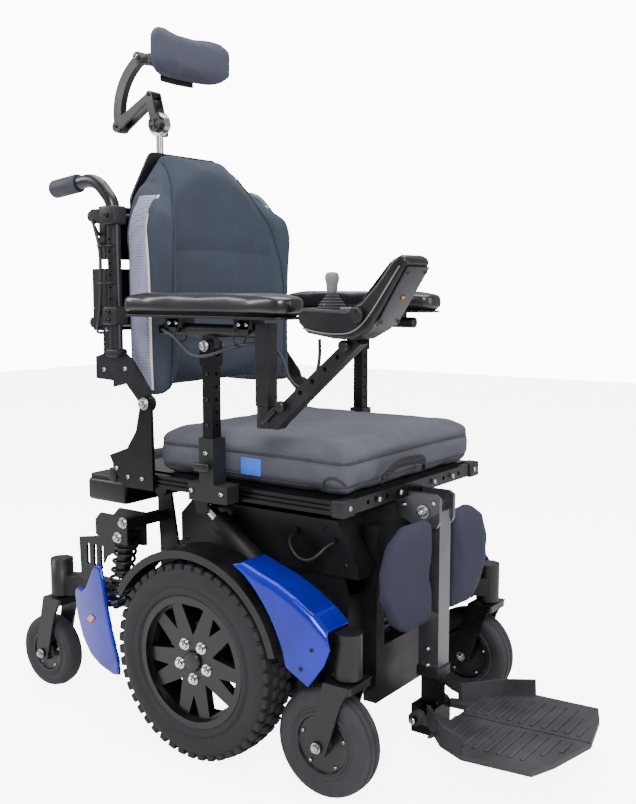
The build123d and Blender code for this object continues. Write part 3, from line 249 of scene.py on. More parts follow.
@dataclass(frozen=True)
class Fabric:
    """An upholstery cloth."""

    name: str
    thread: str
    gap: str
    construction: Cloth
    thread_mm: float
    sheen: float = 0.35
    relief: float = 0.5

    def make(self) -> bpy.types.Material:
        """Builds the material.

        Returns:
            The material, with its threads or holes, fuzz and soft shading of worn places.
        """
        material = bpy.data.materials.new(self.name)
        material.use_nodes = True
        tree = material.node_tree
        shader = tree.nodes["Principled BSDF"]
        shader.inputs["Roughness"].default_value = 0.92
        shader.inputs["Sheen Weight"].default_value = self.sheen
        shader.inputs["Sheen Roughness"].default_value = 0.45
        shader.inputs["Specular IOR Level"].default_value = 0.25
        place = add(tree, "ShaderNodeTexCoord").outputs["Object"]
        scale = 1000 / self.thread_mm
        if self.construction is Cloth.WOVEN:
            warp = add(
                tree, "ShaderNodeTexWave",
                {"Scale": scale / 6.3, "Distortion": 1.2, "bands_direction": "X"}, {"Vector": place}
            )
            turned = add(
                tree, "ShaderNodeMapping", {"Rotation": (math.radians(45), 0.0, 0.0)}, {"Vector": place}
            )
            weft = add(
                tree,
                "ShaderNodeTexWave",
                {"Scale": scale / 6.3, "Distortion": 1.2, "bands_direction": "Y"},
                {"Vector": turned.outputs[0]},
            )
            both = add(
                tree, "ShaderNodeMath", {"operation": "MULTIPLY"},
                {0: warp.outputs["Fac"], 1: weft.outputs["Fac"]}
            )
            height = both.outputs[0]
        elif self.construction is Cloth.SPACER:
            holes = add(tree, "ShaderNodeTexVoronoi", {"Scale": scale, "Randomness": 0.15}, {"Vector": place})
            ramp = add(
                tree, "ShaderNodeMapRange", {"From Min": 0.22, "From Max": 0.42},
                {"Value": holes.outputs["Distance"]}
            )
            height = ramp.outputs["Result"]
        else:
            knit = add(
                tree, "ShaderNodeTexNoise", {"Scale": scale, "Detail": 3.0, "Roughness": 0.7},
                {"Vector": place}
            )
            height = knit.outputs["Fac"]
        shade = add(
            tree, "ShaderNodeTexNoise", {"Scale": 9.0, "Detail": 6.0, "Roughness": 0.65}, {"Vector": place}
        )
        blend = add(tree, "ShaderNodeMath", {"operation": "MULTIPLY_ADD", 1: 0.65, 2: 0.0}, {0: height})
        total = add(
            tree, "ShaderNodeMath", {"operation": "MULTIPLY_ADD", 1: 0.55},
            {0: shade.outputs["Fac"], 2: blend.outputs[0]}
        )
        clipped = add(
            tree, "ShaderNodeMapRange", {"From Min": 0.15, "From Max": 0.85}, {"Value": total.outputs[0]}
        )
        tint = add(
            tree,
            "ShaderNodeMix",
            {"data_type": "RGBA", 6: linear(self.gap), 7: linear(self.thread)},
            {"Factor": clipped.outputs["Result"]},
        )
        tree.links.new(tint.outputs[2], shader.inputs["Base Color"])
        tree.links.new(tint.outputs[2], shader.inputs["Sheen Tint"])
        bump = add(
            tree, "ShaderNodeBump", {"Strength": self.relief, "Distance": self.thread_mm / 3000},
            {"Height": height}
        )
        tree.links.new(bump.outputs["Normal"], shader.inputs["Normal"])
        return material


# Powder-coated steel: low sheen, with the faint orange peel of baked powder.
POWDER_COAT = Hard(
    "powder_coated_steel", "09090b", "121215", 0.38, surface=Surface.CAST, grain_mm=2.5, relief=0.12
)
# Anodised extrusion: even black with long tight highlights.
ANODISED_RAIL = Hard(
    "anodised_black_extrusion", "070709", "101013", 0.28, 0.35, surface=Surface.BRUSHED, grain_mm=1.2,
    relief=0.06
)
# Die-cast zinc under black paint: slightly pebbled, soft highlights.
DIE_CAST = Hard(
    "painted_die_casting", "0b0b0d", "151518", 0.5, surface=Surface.CAST, grain_mm=1.8, relief=0.2
)
# Graphite enamel on the leg rest's steel: smoother, greyer and brighter.
GRAPHITE = Hard("graphite_enamelled_steel", "3a3b3f", "4b4c50", 0.32, 0.55, 0.3, Surface.SMOOTH, 2.0, 0.04)
# Satin black enamel on the back's tubes and plates: soft wide highlights.
SATIN_BLACK = Hard("satin_black_enamel", "0d0e12", "181a21", 0.34, 0.2, 0.2, Surface.CAST, 1.4, 0.06)
# Zinc-plated screws and pins: bright, a little cloudy.
ZINC = Hard(
    "zinc_plated_steel", "b6b8ba", "8f9194", 0.26, 1.0, surface=Surface.BRUSHED, grain_mm=1.0, relief=0.05
)
# Hard chrome on the shock rods: near mirror.
CHROME = Hard("chromium_plated_steel", "d4d6d8", "bcbec1", 0.08, 1.0, grain_mm=3.0, relief=0.01)
# Passivated brass screws.
BRASS = Hard("yellow_passivated_screw", "a07c3c", "7a5c2c", 0.32, 1.0, grain_mm=1.0, relief=0.04)
# Moulded ABS covers: fine spark-eroded texture.
ABS_BLACK = Hard(
    "moulded_black_abs", "09090b", "131316", 0.4, surface=Surface.MOULDED, grain_mm=1.6, relief=0.14
)
# Glass-filled nylon foot pieces: greyer, dry-looking moulding.
NYLON = Hard(
    "moulded_grey_nylon", "242427", "323236", 0.58, surface=Surface.MOULDED, grain_mm=1.8, relief=0.18
)
# Candy blue paint: flake under a thick clear lacquer.
CANDY_BLUE = Hard("candy_blue_lacquer", "000a76", "0012a0", 0.26, 0.4, 0.35, Surface.CAST, 0.8, 0.02, 140.0)
# Black PVC skin on the arm pads: wet-looking, softly grained.
VINYL = Hard("black_pvc_skin", "0c0c10", "16161b", 0.34, 0.0, 0.4, Surface.MOULDED, 2.8, 0.06, 120.0)
# Tyre rubber: matte with a grey bloom.
TYRE = Hard("tyre_rubber", "141417", "232327", 0.72, surface=Surface.CAST, grain_mm=2.2, relief=0.22)
CASTER_RUBBER = Hard(
    "caster_rubber", "1f1f22", "2f2f34", 0.7, surface=Surface.CAST, grain_mm=2.0, relief=0.16
)
RIM_COAT = Hard("satin_black_wheel_lacquer", "060607", "0e0e10", 0.36, 0.2, 0.25, Surface.CAST, 1.6, 0.06)
GRIP = Hard(
    "soft_grey_grip_rubber", "26272f", "34363f", 0.6, surface=Surface.MOULDED, grain_mm=2.0, relief=0.1
)
CABLE = Hard("cable_jacket_pvc", "1d1e20", "2c2d30", 0.48, surface=Surface.MOULDED, grain_mm=1.2, relief=0.05)
KNOB = Hard("moulded_grey_knob", "55565b", "6b6c72", 0.55, surface=Surface.MOULDED, grain_mm=1.6, relief=0.16)
DISPLAY_BACK = Hard(
    "dark_grey_panel", "202125", "303137", 0.42, 0.3, surface=Surface.CAST, grain_mm=1.2, relief=0.06
)
AMBER = Hard("amber_reflector_acrylic", "c2560f", "e07a1c", 0.16, 0.0, 0.6, Surface.MOULDED, 3.0, 0.3)
BLUE_TAG = Hard("woven_blue_tag", "2b55b8", "3c6ad0", 0.75, surface=Surface.MOULDED, grain_mm=2.0, relief=0.2)
CREAM_PIPING = Hard(
    "cream_cord_piping", "b9b2a4", "d2ccbe", 0.85, surface=Surface.MOULDED, grain_mm=2.2, relief=0.3
)
DARK_PIPING = Hard(
    "charcoal_piping", "232327", "38383e", 0.85, surface=Surface.MOULDED, grain_mm=2.2, relief=0.3
)
# Upholstery. Real threads are too fine to show at this size, so they are drawn at 2.6 to 5.5 mm.
SEAT_CLOTH = Fabric("charcoal_seat_stretch_fabric", "4b4c54", "303138", Cloth.STRETCH, 2.6, 0.5, 0.3)
BACK_CLOTH = Fabric("slate_stretch_fabric", "333944", "20252e", Cloth.STRETCH, 3.0, 0.45, 0.35)
HEAD_CLOTH = Fabric("plum_grey_fabric", "3f414e", "2b2c37", Cloth.STRETCH, 2.8, 0.4, 0.35)
CALF_CLOTH = Fabric("purple_grey_neoprene", "2a2b3a", "1e1f2a", Cloth.STRETCH, 2.8, 0.35, 0.3)
SIDE_MESH = Fabric("lavender_spacer_mesh", "7f8096", "595a6c", Cloth.SPACER, 5.5, 0.3, 0.6)
POUCH_CLOTH = Fabric("black_pouch_nylon", "29292d", "121214", Cloth.WOVEN, 3.4, 0.25)
ROLL_CLOTH = Fabric("grey_roll_fabric", "6a6b70", "404146", Cloth.WOVEN, 4.2, 0.3)


class Paints:
    """Makes each finish once and hands out its material."""

    made: dict[str, bpy.types.Material] = {}

    @classmethod
    def of(cls, finish: Hard | Fabric) -> bpy.types.Material:
        """The finish's material, built the first time it is asked for."""
        if finish.name not in cls.made:
            cls.made[finish.name] = finish.make()
        return cls.made[finish.name]

    @classmethod
    def dress_node(cls, name: str, finish: Hard | Fabric) -> None:
        """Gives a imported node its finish, in every material slot it has.

        Args:
            name: the node's name.
            finish: the finish it takes.
        """
        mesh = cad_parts[name].data
        if not mesh.materials:
            mesh.materials.append(cls.of(finish))
        for index in range(len(mesh.materials)):
            mesh.materials[index] = cls.of(finish)


# --- Modelling --------------------------------------------------------------------------------------


class Bench:
    """The modelling steps that the pieces share."""

    @staticmethod
    def clear() -> None:
        """Leaves nothing selected and nothing active."""
        bpy.ops.object.select_all(action="DESELECT")
        bpy.context.view_layer.objects.active = None

    @staticmethod
    def only(piece: bpy.types.Object) -> None:
        """Selects one object and makes it the active one."""
        Bench.clear()
        piece.select_set(True)
        bpy.context.view_layer.objects.active = piece

    @staticmethod
    def settle(piece: bpy.types.Object, name: str, smooth: float = 32.0) -> bpy.types.Object:
        """Puts a modelled object at the origin with its place in its mesh.

        Args:
            piece: the object.
            name: its final name.
            smooth: the angle in degrees under which edges shade smooth.

        Returns:
            The same object.
        """
        Bench.only(piece)
        piece.name = name
        piece.data.name = name
        bpy.ops.object.transform_apply(location=True, rotation=True, scale=True)
        bpy.ops.object.shade_smooth_by_angle(angle=math.radians(smooth))
        return piece

    @staticmethod
    def block(
        name: str, low: Vector, high: Vector, bevel: float = 0.001, segments: int = 3
    ) -> bpy.types.Object:
        """A box with rounded edges.

        Args:
            name: the piece's name.
            low: its lowest corner.
            high: its highest corner.
            bevel: radius of its edges in metres.
            segments: facets across each edge.

        Returns:
            The piece.
        """
        Bench.clear()
        middle = (low + high) / 2
        bpy.ops.mesh.primitive_cube_add(size=1, location=middle)
        piece = bpy.context.object
        piece.scale = high - low
        bpy.ops.object.transform_apply(location=True, rotation=True, scale=True)
        with editing():
            if bevel:
                bpy.ops.mesh.bevel(offset=bevel, segments=segments, affect="EDGES")
        return Bench.settle(piece, name)

    @staticmethod
    def chain(points: list[Vector]) -> bpy.types.Object:
        """A line of vertices, extruded one after another.

        Args:
            points: where they lie.

        Returns:
            The object, still in edit mode with its last vertex selected.
        """
        Bench.clear()
        bpy.ops.mesh.primitive_plane_add(size=0.001, location=(0, 0, 0))
        bpy.ops.object.mode_set(mode="EDIT")
        bpy.ops.mesh.select_all(action="SELECT")
        bpy.ops.mesh.merge(type="CENTER")
        bpy.ops.transform.translate(value=points[0])
        for before, after in zip(points, points[1:]):
            bpy.ops.mesh.extrude_region_move(TRANSFORM_OT_translate={"value": after - before})
        return bpy.context.object

    @staticmethod
    def turned(
        name: str, profile: list[tuple[float, float]], centre: Vector, axis: Vector,
        steps: int = 48, closed: bool = False
    ) -> bpy.types.Object:
        """A piece turned on a lathe.

        Args:
            name: the piece's name.
            profile: (distance along the axis, radius) pairs in metres, from one end to the other.
            centre: the point where distance along the axis is nought.
            axis: the lathe's axis.
            steps: facets round it.
            closed: whether the profile is a ring that closes on itself.

        Returns:
            The piece.
        """
        along = axis.normalized()
        across = along.orthogonal().normalized()
        points = [centre + along * distance + across * radius for distance, radius in profile]
        piece = Bench.chain(points + points[:1] if closed else points)
        bpy.ops.mesh.select_all(action="SELECT")
        bpy.ops.mesh.spin(steps=steps, angle=2 * math.pi, center=centre, axis=along)
        bpy.ops.mesh.select_all(action="SELECT")
        bpy.ops.mesh.remove_doubles(threshold=0.00002)
        bpy.ops.mesh.normals_make_consistent(inside=False)
        bpy.ops.object.mode_set(mode="OBJECT")
        return Bench.settle(piece, name)

    @staticmethod
    def plate(
        name: str, outline: list[Vector], thickness: Vector, bevel: float = 0.0006, segments: int = 2
    ) -> bpy.types.Object:
        """A flat plate cut to an outline.

        Args:
            name: the piece's name.
            outline: its corners in order, in one plane.
            thickness: the vector from this face to the other.
            bevel: radius of its edges in metres.
            segments: facets across each edge.

        Returns:
            The piece.
        """
        piece = Bench.chain(outline)
        bpy.ops.mesh.select_all(action="SELECT")
        bpy.ops.mesh.edge_face_add()
        bpy.ops.mesh.extrude_region_move(TRANSFORM_OT_translate={"value": thickness})
        bpy.ops.mesh.select_all(action="SELECT")
        bpy.ops.mesh.normals_make_consistent(inside=False)
        if bevel:
            bpy.ops.mesh.bevel(offset=bevel, segments=segments, affect="EDGES")
        bpy.ops.object.mode_set(mode="OBJECT")
        return Bench.settle(piece, name)

    @staticmethod
    def tube(
        name: str, points: list[Vector], diameter: float, as_mesh: bool = True, ring: bool = False
    ) -> bpy.types.Object:
        """A round tube along a smooth line.

        Args:
            name: the piece's name.
            points: the control points of the line.
            diameter: the tube's diameter in metres.
            as_mesh: whether it ends as a mesh and not as a curve.
            ring: whether the line closes on itself.

        Returns:
            The piece.
        """
        Bench.clear()
        curve = bpy.data.curves.new(name, "CURVE")
        curve.dimensions = "3D"
        spline = curve.splines.new("NURBS")
        spline.points.add(len(points) - 1)
        for spot, point in zip(spline.points, points):
            spot.co = (*point, 1.0)
        spline.order_u = 3
        spline.use_endpoint_u = not ring
        spline.use_cyclic_u = ring
        spline.resolution_u = 6
        curve.bevel_depth = diameter / 2
        curve.bevel_resolution = 3
        curve.use_fill_caps = not ring
        piece = bpy.data.objects.new(name, curve)
        bpy.context.collection.objects.link(piece)
        if as_mesh:
            Bench.only(piece)
            bpy.ops.object.convert(target="MESH")
            piece = Bench.settle(bpy.context.object, name, 60.0)
        return piece

    @staticmethod
    def join(name: str, parts: list[bpy.types.Object]) -> bpy.types.Object:
        """Joins separate solids into one piece.

        Args:
            name: the joined piece's name.
            parts: the solids.

        Returns:
            The piece.
        """
        Bench.only(parts[0])
        for part in parts:
            part.select_set(True)
        bpy.ops.object.join()
        parts[0].name = name
        parts[0].data.name = name
        return parts[0]

    @staticmethod
    def rounded(
        left: float, right: float, front: float, rear: float, corner: float, level: float
    ) -> list[Vector]:
        """Points round a rectangle with rounded corners.

        Args:
            left: its smaller x in millimetres.
            right: its larger x.
            front: its smaller y.
            rear: its larger y.
            corner: the radius of its corners.
            level: height above the floor.

        Returns:
            Seven points to a corner.
        """
        points = []
        corners = ((right - corner, rear - corner), (left + corner, rear - corner))
        corners += ((left + corner, front + corner), (right - corner, front + corner))
        for quarter, (x, y) in enumerate(corners):
            for step in range(7):
                angle = math.radians(quarter * 90 + step * 15)
                points.append(mm(x + corner * math.cos(angle), y + corner * math.sin(angle), level))
        return points

    @staticmethod
    def modify(piece: bpy.types.Object, kind: str, **settings: float | bool | str) -> None:
        """Adds one modifier to the active piece and applies it.

        Args:
            piece: the piece.
            kind: the modifier's kind.
            settings: its settings.
        """
        modifier = piece.modifiers.new(kind.title(), kind)
        for key, value in settings.items():
            setattr(modifier, key, value)
        bpy.ops.object.modifier_apply(modifier=modifier.name)

    @staticmethod
    def arc(
        first: float, second: float, wide: float, high: float, degrees: range
    ) -> list[tuple[float, float]]:
        """Points along an ellipse in two of the three axes.

        Args:
            first: its centre along the first axis in millimetres.
            second: its centre along the second.
            wide: its radius along the first axis.
            high: its radius along the second.
            degrees: the angles at which points stand.

        Returns:
            A pair for each angle.
        """
        turns = [math.radians(angle) for angle in degrees]
        return [(first + wide * math.cos(turn), second + high * math.sin(turn)) for turn in turns]

    @staticmethod
    def copies(name: str, model: bpy.types.Object, places: list[Matrix]) -> bpy.types.Object:
        """Copies a small solid to each place and joins the copies.

        Args:
            name: the joined piece's name.
            model: the solid, modelled at the origin. It is used up.
            places: where each copy goes.

        Returns:
            The piece.
        """
        made = []
        for place in places:
            twin = model.copy()
            twin.data = model.data.copy()
            bpy.context.collection.objects.link(twin)
            twin.data.transform(place)
            made.append(twin)
        bpy.data.objects.remove(model, do_unlink=True)
        return Bench.join(name, made)

    @staticmethod
    def twin(name: str, node: str) -> bpy.types.Object:
        """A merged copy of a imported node's mesh, as the start of a new piece.

        Args:
            name: the piece's name.
            node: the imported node.

        Returns:
            The piece.
        """
        piece = bpy.data.objects.new(name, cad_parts[node].data.copy())
        bpy.context.collection.objects.link(piece)
        Bench.only(piece)
        with editing():
            bpy.ops.mesh.remove_doubles(threshold=0.00002)
        return piece

    @staticmethod
    def finish(
        piece: bpy.types.Object, body: str, finish: Hard | Fabric, slot: str, *nodes: str
    ) -> bpy.types.Object:
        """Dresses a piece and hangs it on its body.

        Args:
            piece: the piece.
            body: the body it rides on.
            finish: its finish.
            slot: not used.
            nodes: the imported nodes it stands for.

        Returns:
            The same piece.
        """
        piece.data.materials.clear()
        piece.data.materials.append(Paints.of(finish))
        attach(piece, body)
        if nodes:
            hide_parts(*nodes)
        LOG.info("%s rides on %s", piece.name, body)
        return piece


class Upholstery:
    """The steps that make a padded piece out of a plain form."""

    @staticmethod
    def puff(
        piece: bpy.types.Object, voxel: float, cap: float, shrink: float = 0.004, pressure: float = 4.0,
        rounds: int = 4
    ) -> None:
        """Fills a closed form so that its cover bulges.

        Args:
            piece: the form.
            voxel: spacing of its new mesh in metres.
            cap: the furthest a point may move in metres.
            shrink: how much smaller the form starts, in metres.
            pressure: the filling's pressure.
            rounds: how often its edges are softened first.
        """
        Bench.only(piece)
        Bench.modify(piece, "REMESH", mode="VOXEL", voxel_size=voxel)
        Bench.modify(piece, "SMOOTH", factor=0.5, iterations=rounds)
        normals = [vertex.normal.copy() for vertex in piece.data.vertices]
        for vertex, normal in zip(piece.data.vertices, normals):
            vertex.co -= normal * shrink
        start = [vertex.co.copy() for vertex in piece.data.vertices]
        cloth = piece.modifiers.new("Cloth", "CLOTH")
        cloth.settings.quality = 4
        cloth.settings.use_pressure = True
        cloth.settings.uniform_pressure_force = pressure
        cloth.settings.tension_stiffness = 12
        cloth.settings.compression_stiffness = 12
        cloth.settings.bending_stiffness = 0.6
        cloth.settings.effector_weights.gravity = 0
        cloth.collision_settings.use_collision = False
        scene = bpy.context.scene
        for step in range(1, 21):
            scene.frame_set(step)
        bpy.ops.object.modifier_apply(modifier="Cloth")
        scene.frame_set(1)
        for vertex, home in zip(piece.data.vertices, start):
            move = vertex.co - home
            if move.length > cap:
                vertex.co = home + move * (cap / move.length)
        Bench.modify(piece, "SMOOTH", factor=0.5, iterations=12)
        fine = piece.modifiers.new("Fine", "SUBSURF")
        fine.levels = fine.render_levels = 1
        bpy.ops.object.modifier_apply(modifier="Fine")
        bpy.ops.object.shade_smooth()

    @staticmethod
    def line(points: list[Vector], spacing: float = 0.003) -> list[Vector]:
        """Points evenly spaced along straight runs.

        Args:
            points: the corners.
            spacing: the distance between the new points.

        Returns:
            The new points.
        """
        made = []
        for before, after in zip(points, points[1:]):
            count = max(1, round((after - before).length / spacing))
            made += [before.lerp(after, step / count) for step in range(count)]
        return made + [points[-1]]

    @staticmethod
    def laid(
        piece: bpy.types.Object, points: list[Vector], inward: Vector, lift: float = 0.0
    ) -> list[Vector]:
        """Drops points onto a piece's surface.

        Args:
            piece: the piece.
            points: points outside it.
            inward: the direction to drop them in.
            lift: height above the surface in metres.

        Returns:
            The points that met the surface.
        """
        made = []
        for point in points:
            met, place, normal, _ = piece.ray_cast(point, inward.normalized(), distance=0.4)
            if met:
                made.append(place + normal * lift)
        return made

    @staticmethod
    def laid_ring(piece: bpy.types.Object, ring: list[Vector], lift: float) -> list[Vector]:
        """Drops a ring of points sideways onto a piece, towards its middle.

        Args:
            piece: the piece.
            ring: points outside it, at one level.
            lift: height above the surface in metres.

        Returns:
            The points that met the surface.
        """
        middle = sum(ring, Vector()) / len(ring)
        made = []
        for point in ring:
            nearest = Vector(
                (max(-0.14, min(0.14, point.x - middle.x)), max(-0.14, min(0.14, point.y - middle.y)), 0)
            ) + middle
            made += Upholstery.laid(piece, [point], nearest - point, lift)
        return made

    @staticmethod
    def laid_long(piece: bpy.types.Object, ring: list[Vector], middle_x: float) -> list[Vector]:
        """Drops a ring of points onto a long narrow piece, towards its spine.

        Args:
            piece: the piece.
            ring: points outside it, at one level.
            middle_x: the x of its spine in metres.

        Returns:
            The points that met the surface.
        """
        ends = [point.y for point in ring]
        low, high = min(ends) + 0.045, max(ends) - 0.045
        made = []
        for point in ring:
            spine = Vector((middle_x, max(low, min(high, point.y)), point.z))
            made += Upholstery.laid(piece, [point], spine - point)
        return made

    @staticmethod
    def groove(piece: bpy.types.Object, points: list[Vector], width: float, depth: float) -> None:
        """Pulls the cover in along a seam.

        Args:
            piece: the padded piece.
            points: closely spaced points of the seam, on its surface.
            width: half the width of the valley in metres.
            depth: its depth in metres.
        """
        tree = kdtree.KDTree(len(points))
        for index, point in enumerate(points):
            tree.insert(point, index)
        tree.balance()
        moves = []
        for vertex in piece.data.vertices:
            distance = tree.find(vertex.co)[2]
            if distance < width:
                moves.append((vertex.index, vertex.normal * (depth * (1 - distance / width) ** 1.6)))
        for index, move in moves:
            piece.data.vertices[index].co -= move


# --- Fasteners --------------------------------------------------------------------------------------


class Head(Enum):
    """The screw heads used on the chair."""

    BUTTON = "button"
    HEX = "hex"
    SOCKET = "socket"


@dataclass
class Screws:
    """A group of screw heads of one kind and size, on one body."""

    name: str
    body: str
    slot: str
    kind: Head
    radius: float
    spots: list[tuple[Vector, Vector]]
    finish: Hard = ZINC

    def build(self) -> bpy.types.Object:
        """Models one head, copies it to each spot and dresses the group.

        Returns:
            The piece.
        """
        r = self.radius / 1000
        up = Vector((0, 0, 1))
        if self.kind is Head.HEX:
            Bench.clear()
            bpy.ops.mesh.primitive_cylinder_add(
                vertices=6, radius=r, depth=r * 0.9, location=(0, 0, r * 0.45)
            )
            head = bpy.context.object
            with editing():
                bpy.ops.mesh.bevel(offset=r * 0.12, segments=2, affect="EDGES")
            head = Bench.settle(head, "head")
            washer = Bench.turned(
                "washer", [(0, 0), (0, r * 1.3), (r * 0.16, r * 1.3), (r * 0.2, 0)], Vector(), up, 24
            )
            stud = Bench.turned(
                "stud",
                [(r * 0.8, 0), (r * 0.8, r * 0.5), (r * 1.2, r * 0.5), (r * 1.3, r * 0.38), (r * 1.3, 0)],
                Vector(), up, 16
            )
            head = Bench.join("head", [head, washer, stud])
        else:
            top = 0.55 if self.kind is Head.BUTTON else 0.95
            profile = [
                (0, 0), (0, r), (r * top * 0.45, r * 0.97), (r * top * 0.85, r * 0.75), (r * top, r * 0.5),
                (r * top * 0.98, r * 0.42), (r * 0.2, r * 0.38), (r * 0.2, 0)
            ]
            head = Bench.turned("head", profile, Vector(), up, 24)
        places = []
        for spot, outward in self.spots:
            turn = up.rotation_difference(outward.normalized()).to_matrix().to_4x4()
            places.append(Matrix.Translation(spot) @ turn)
        return Bench.finish(Bench.copies(self.name, head, places), self.body, self.finish, self.slot)


# --- Sub-assemblies ---------------------------------------------------------------------------------


@dataclass
class DriveWheel:
    """One drive wheel: treaded tyre, rim finish and its nuts."""

    side: Side
    radius: float = 178.0
    rim_radius: float = 118.0
    width: float = 75.0
    middle: float = 262.5
    blocks: int = 46

    def build(self) -> None:
        """Models the tyre, its tread and the nuts."""
        hand, sign = self.side.hand, self.side.sign
        body, centre, axis = f"wheel_{hand}", mm(0, 0, 178), Vector((1, 0, 0))
        w = self.width / 2000
        profile = [
            (-w + 0.006, 0.1185), (-w + 0.001, 0.122), (-w, 0.129), (-w + 0.003, 0.133),
            (-w + 0.001, 0.140), (-w, 0.152),
            (-w + 0.003, 0.162), (-w + 0.010, 0.169), (-w + 0.020, 0.1725), (0, 0.1738),
            (w - 0.020, 0.1725), (w - 0.010, 0.169),
            (w - 0.003, 0.162), (w, 0.152), (w - 0.001, 0.140), (w - 0.003, 0.133), (w, 0.129),
            (w - 0.001, 0.122), (w - 0.006, 0.1185),
        ]
        tyre = Bench.turned(
            f"drive_tyre_{hand}", profile, centre + axis * (sign * self.middle / 1000), axis, 96,
            closed=True
        )
        lugs = []
        for low, high, skew in (
            (-0.0335, -0.0195, 0.0), (-0.0165, -0.0015, 0.5), (0.0015, 0.0165, 0.0), (0.0195, 0.0335, 0.5)
        ):
            edge = max(abs(low), abs(high)) > 0.03
            base = 0.163 if edge else 0.171
            block = Bench.block(
                "lug", Vector((low, -0.0082, base)), Vector((high, 0.0082, 0.1752 if edge else 0.1776)),
                0.0026, 2
            )
            places = []
            for turn in range(self.blocks):
                angle = 2 * math.pi * (turn + skew) / self.blocks
                place = Matrix.Translation(
                    centre + axis * (sign * self.middle / 1000)
                ) @ Matrix.Rotation(angle, 4, "X")
                places.append(place)
            lugs.append(Bench.copies("lugs", block, places))
        tyre = Bench.join(f"drive_tyre_{hand}", [tyre, *lugs])
        Bench.finish(tyre, body, TYRE, "tyre_black", f"tyre_{hand}")
        face = sign * 284
        spots = []
        for turn in range(5):
            angle = math.radians(90 + 36 + 72 * turn)
            spots.append((mm(face, 33 * math.cos(angle), 178 + 33 * math.sin(angle)), axis * sign))
        Screws(f"lug_nuts_{hand}", body, "bright_steel", Head.HEX, 8.0, spots, CHROME).build()
        cap = Bench.turned(
            f"hub_cap_{hand}", [
                (0, 0.019), (0.003, 0.0185), (0.006, 0.016), (0.0072, 0.009), (0.0075, 0)
            ], mm(face, 0, 178), axis * sign, 40
        )
        Bench.finish(cap, body, RIM_COAT, "rim_black")
        bead = Bench.turned(
            f"rim_lip_{hand}",
            [
                (0, 0.106), (0.004, 0.1065), (0.0095, 0.1125), (0.0125, 0.1165), (0.0125, 0.1182),
                (0.0, 0.1182)
            ],
            mm(sign * 282, 0, 178),
            axis * sign,
            96,
            closed=True,
        )
        Bench.finish(bead, body, RIM_COAT, "rim_black")
        Paints.dress_node(f"rim_{hand}", RIM_COAT)


@dataclass
class Caster:
    """One caster: ribbed tyre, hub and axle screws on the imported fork."""

    side: Side
    end: str
    x: float
    y: float
    radius: float
    width: float
    ribbed: bool

    def build(self) -> None:
        """Models the wheel and dresses the fork."""
        hand, sign = self.side.hand, self.side.sign
        body = f"caster_wheel_{self.end}_{hand}"
        axis = Vector((1, 0, 0))
        centre = mm(sign * self.x, self.y, self.radius)
        r, w = self.radius / 1000, self.width / 2000
        inner = r * 0.58 + 0.0004
        half = [(0, r)]
        if self.ribbed:
            half = [
                (0, r - 0.003), (0.002, r - 0.003), (0.0035, r), (0.010, r - 0.0006), (0.0115, r - 0.0035),
                (0.0135, r - 0.0035), (0.015, r - 0.002)
            ]
        arc = []
        for step in range(1, 9):
            turn = math.radians(step * 11.25)
            arc.append(
                (w - 0.012 + 0.012 * math.sin(turn), r - 0.002 - (r - inner) * 0.42 * (1 - math.cos(turn)))
            )
        side_wall = [
            (w - 0.0015, inner + 0.009), (w - 0.0035, inner + 0.0065), (w - 0.002, inner + 0.003),
            (w - 0.004, inner)
        ]
        right = half + arc + side_wall
        ring = right + [(-a, b) for a, b in reversed(right) if a > 0.0001]
        tyre = Bench.turned(f"caster_tyre_{self.end}_{hand}", ring, centre, axis, 72, closed=True)
        Bench.finish(tyre, body, CASTER_RUBBER, "tyre_black", f"caster_wheel_{self.end}_{hand}")
        hub_r = r * 0.58
        hub_side = [
            (w - 0.004, hub_r), (w - 0.0035, hub_r - 0.004), (w - 0.008, hub_r - 0.0065),
            (w - 0.010, hub_r - 0.016),
            (w - 0.007, 0.0185), (w - 0.0015, 0.0155), (w, 0.0065),
        ]
        hub = hub_side + [(-a, b) for a, b in reversed(hub_side)]
        wheel = Bench.turned(f"caster_hub_{self.end}_{hand}", hub, centre, axis, 56, closed=True)
        Bench.finish(wheel, body, RIM_COAT, "rim_black")
        spots = []
        for out in (-1, 1):
            for turn in range(5):
                angle = math.radians(72 * turn + 18)
                reach = (hub_r * 1000 - 11) / 1000
                spot = centre + Vector((out * (w - 0.0088), reach * math.cos(angle), reach * math.sin(angle)))
                spots.append((spot, axis * out))
        Screws(f"hub_screws_{self.end}_{hand}", body, "bright_steel", Head.SOCKET, 3.4, spots).build()
        fork = f"caster_{self.end}_{hand}"
        legs = self.width / 2 + 3 + 6 + 3
        axle = [(mm(sign * self.x + out * legs, self.y, self.radius), axis * out) for out in (-1, 1)]
        Screws(f"axle_bolts_{self.end}_{hand}", fork, "bright_steel", Head.HEX, 7.0, axle).build()
        Paints.dress_node(f"caster_fork_{self.end}_{hand}", POWDER_COAT)


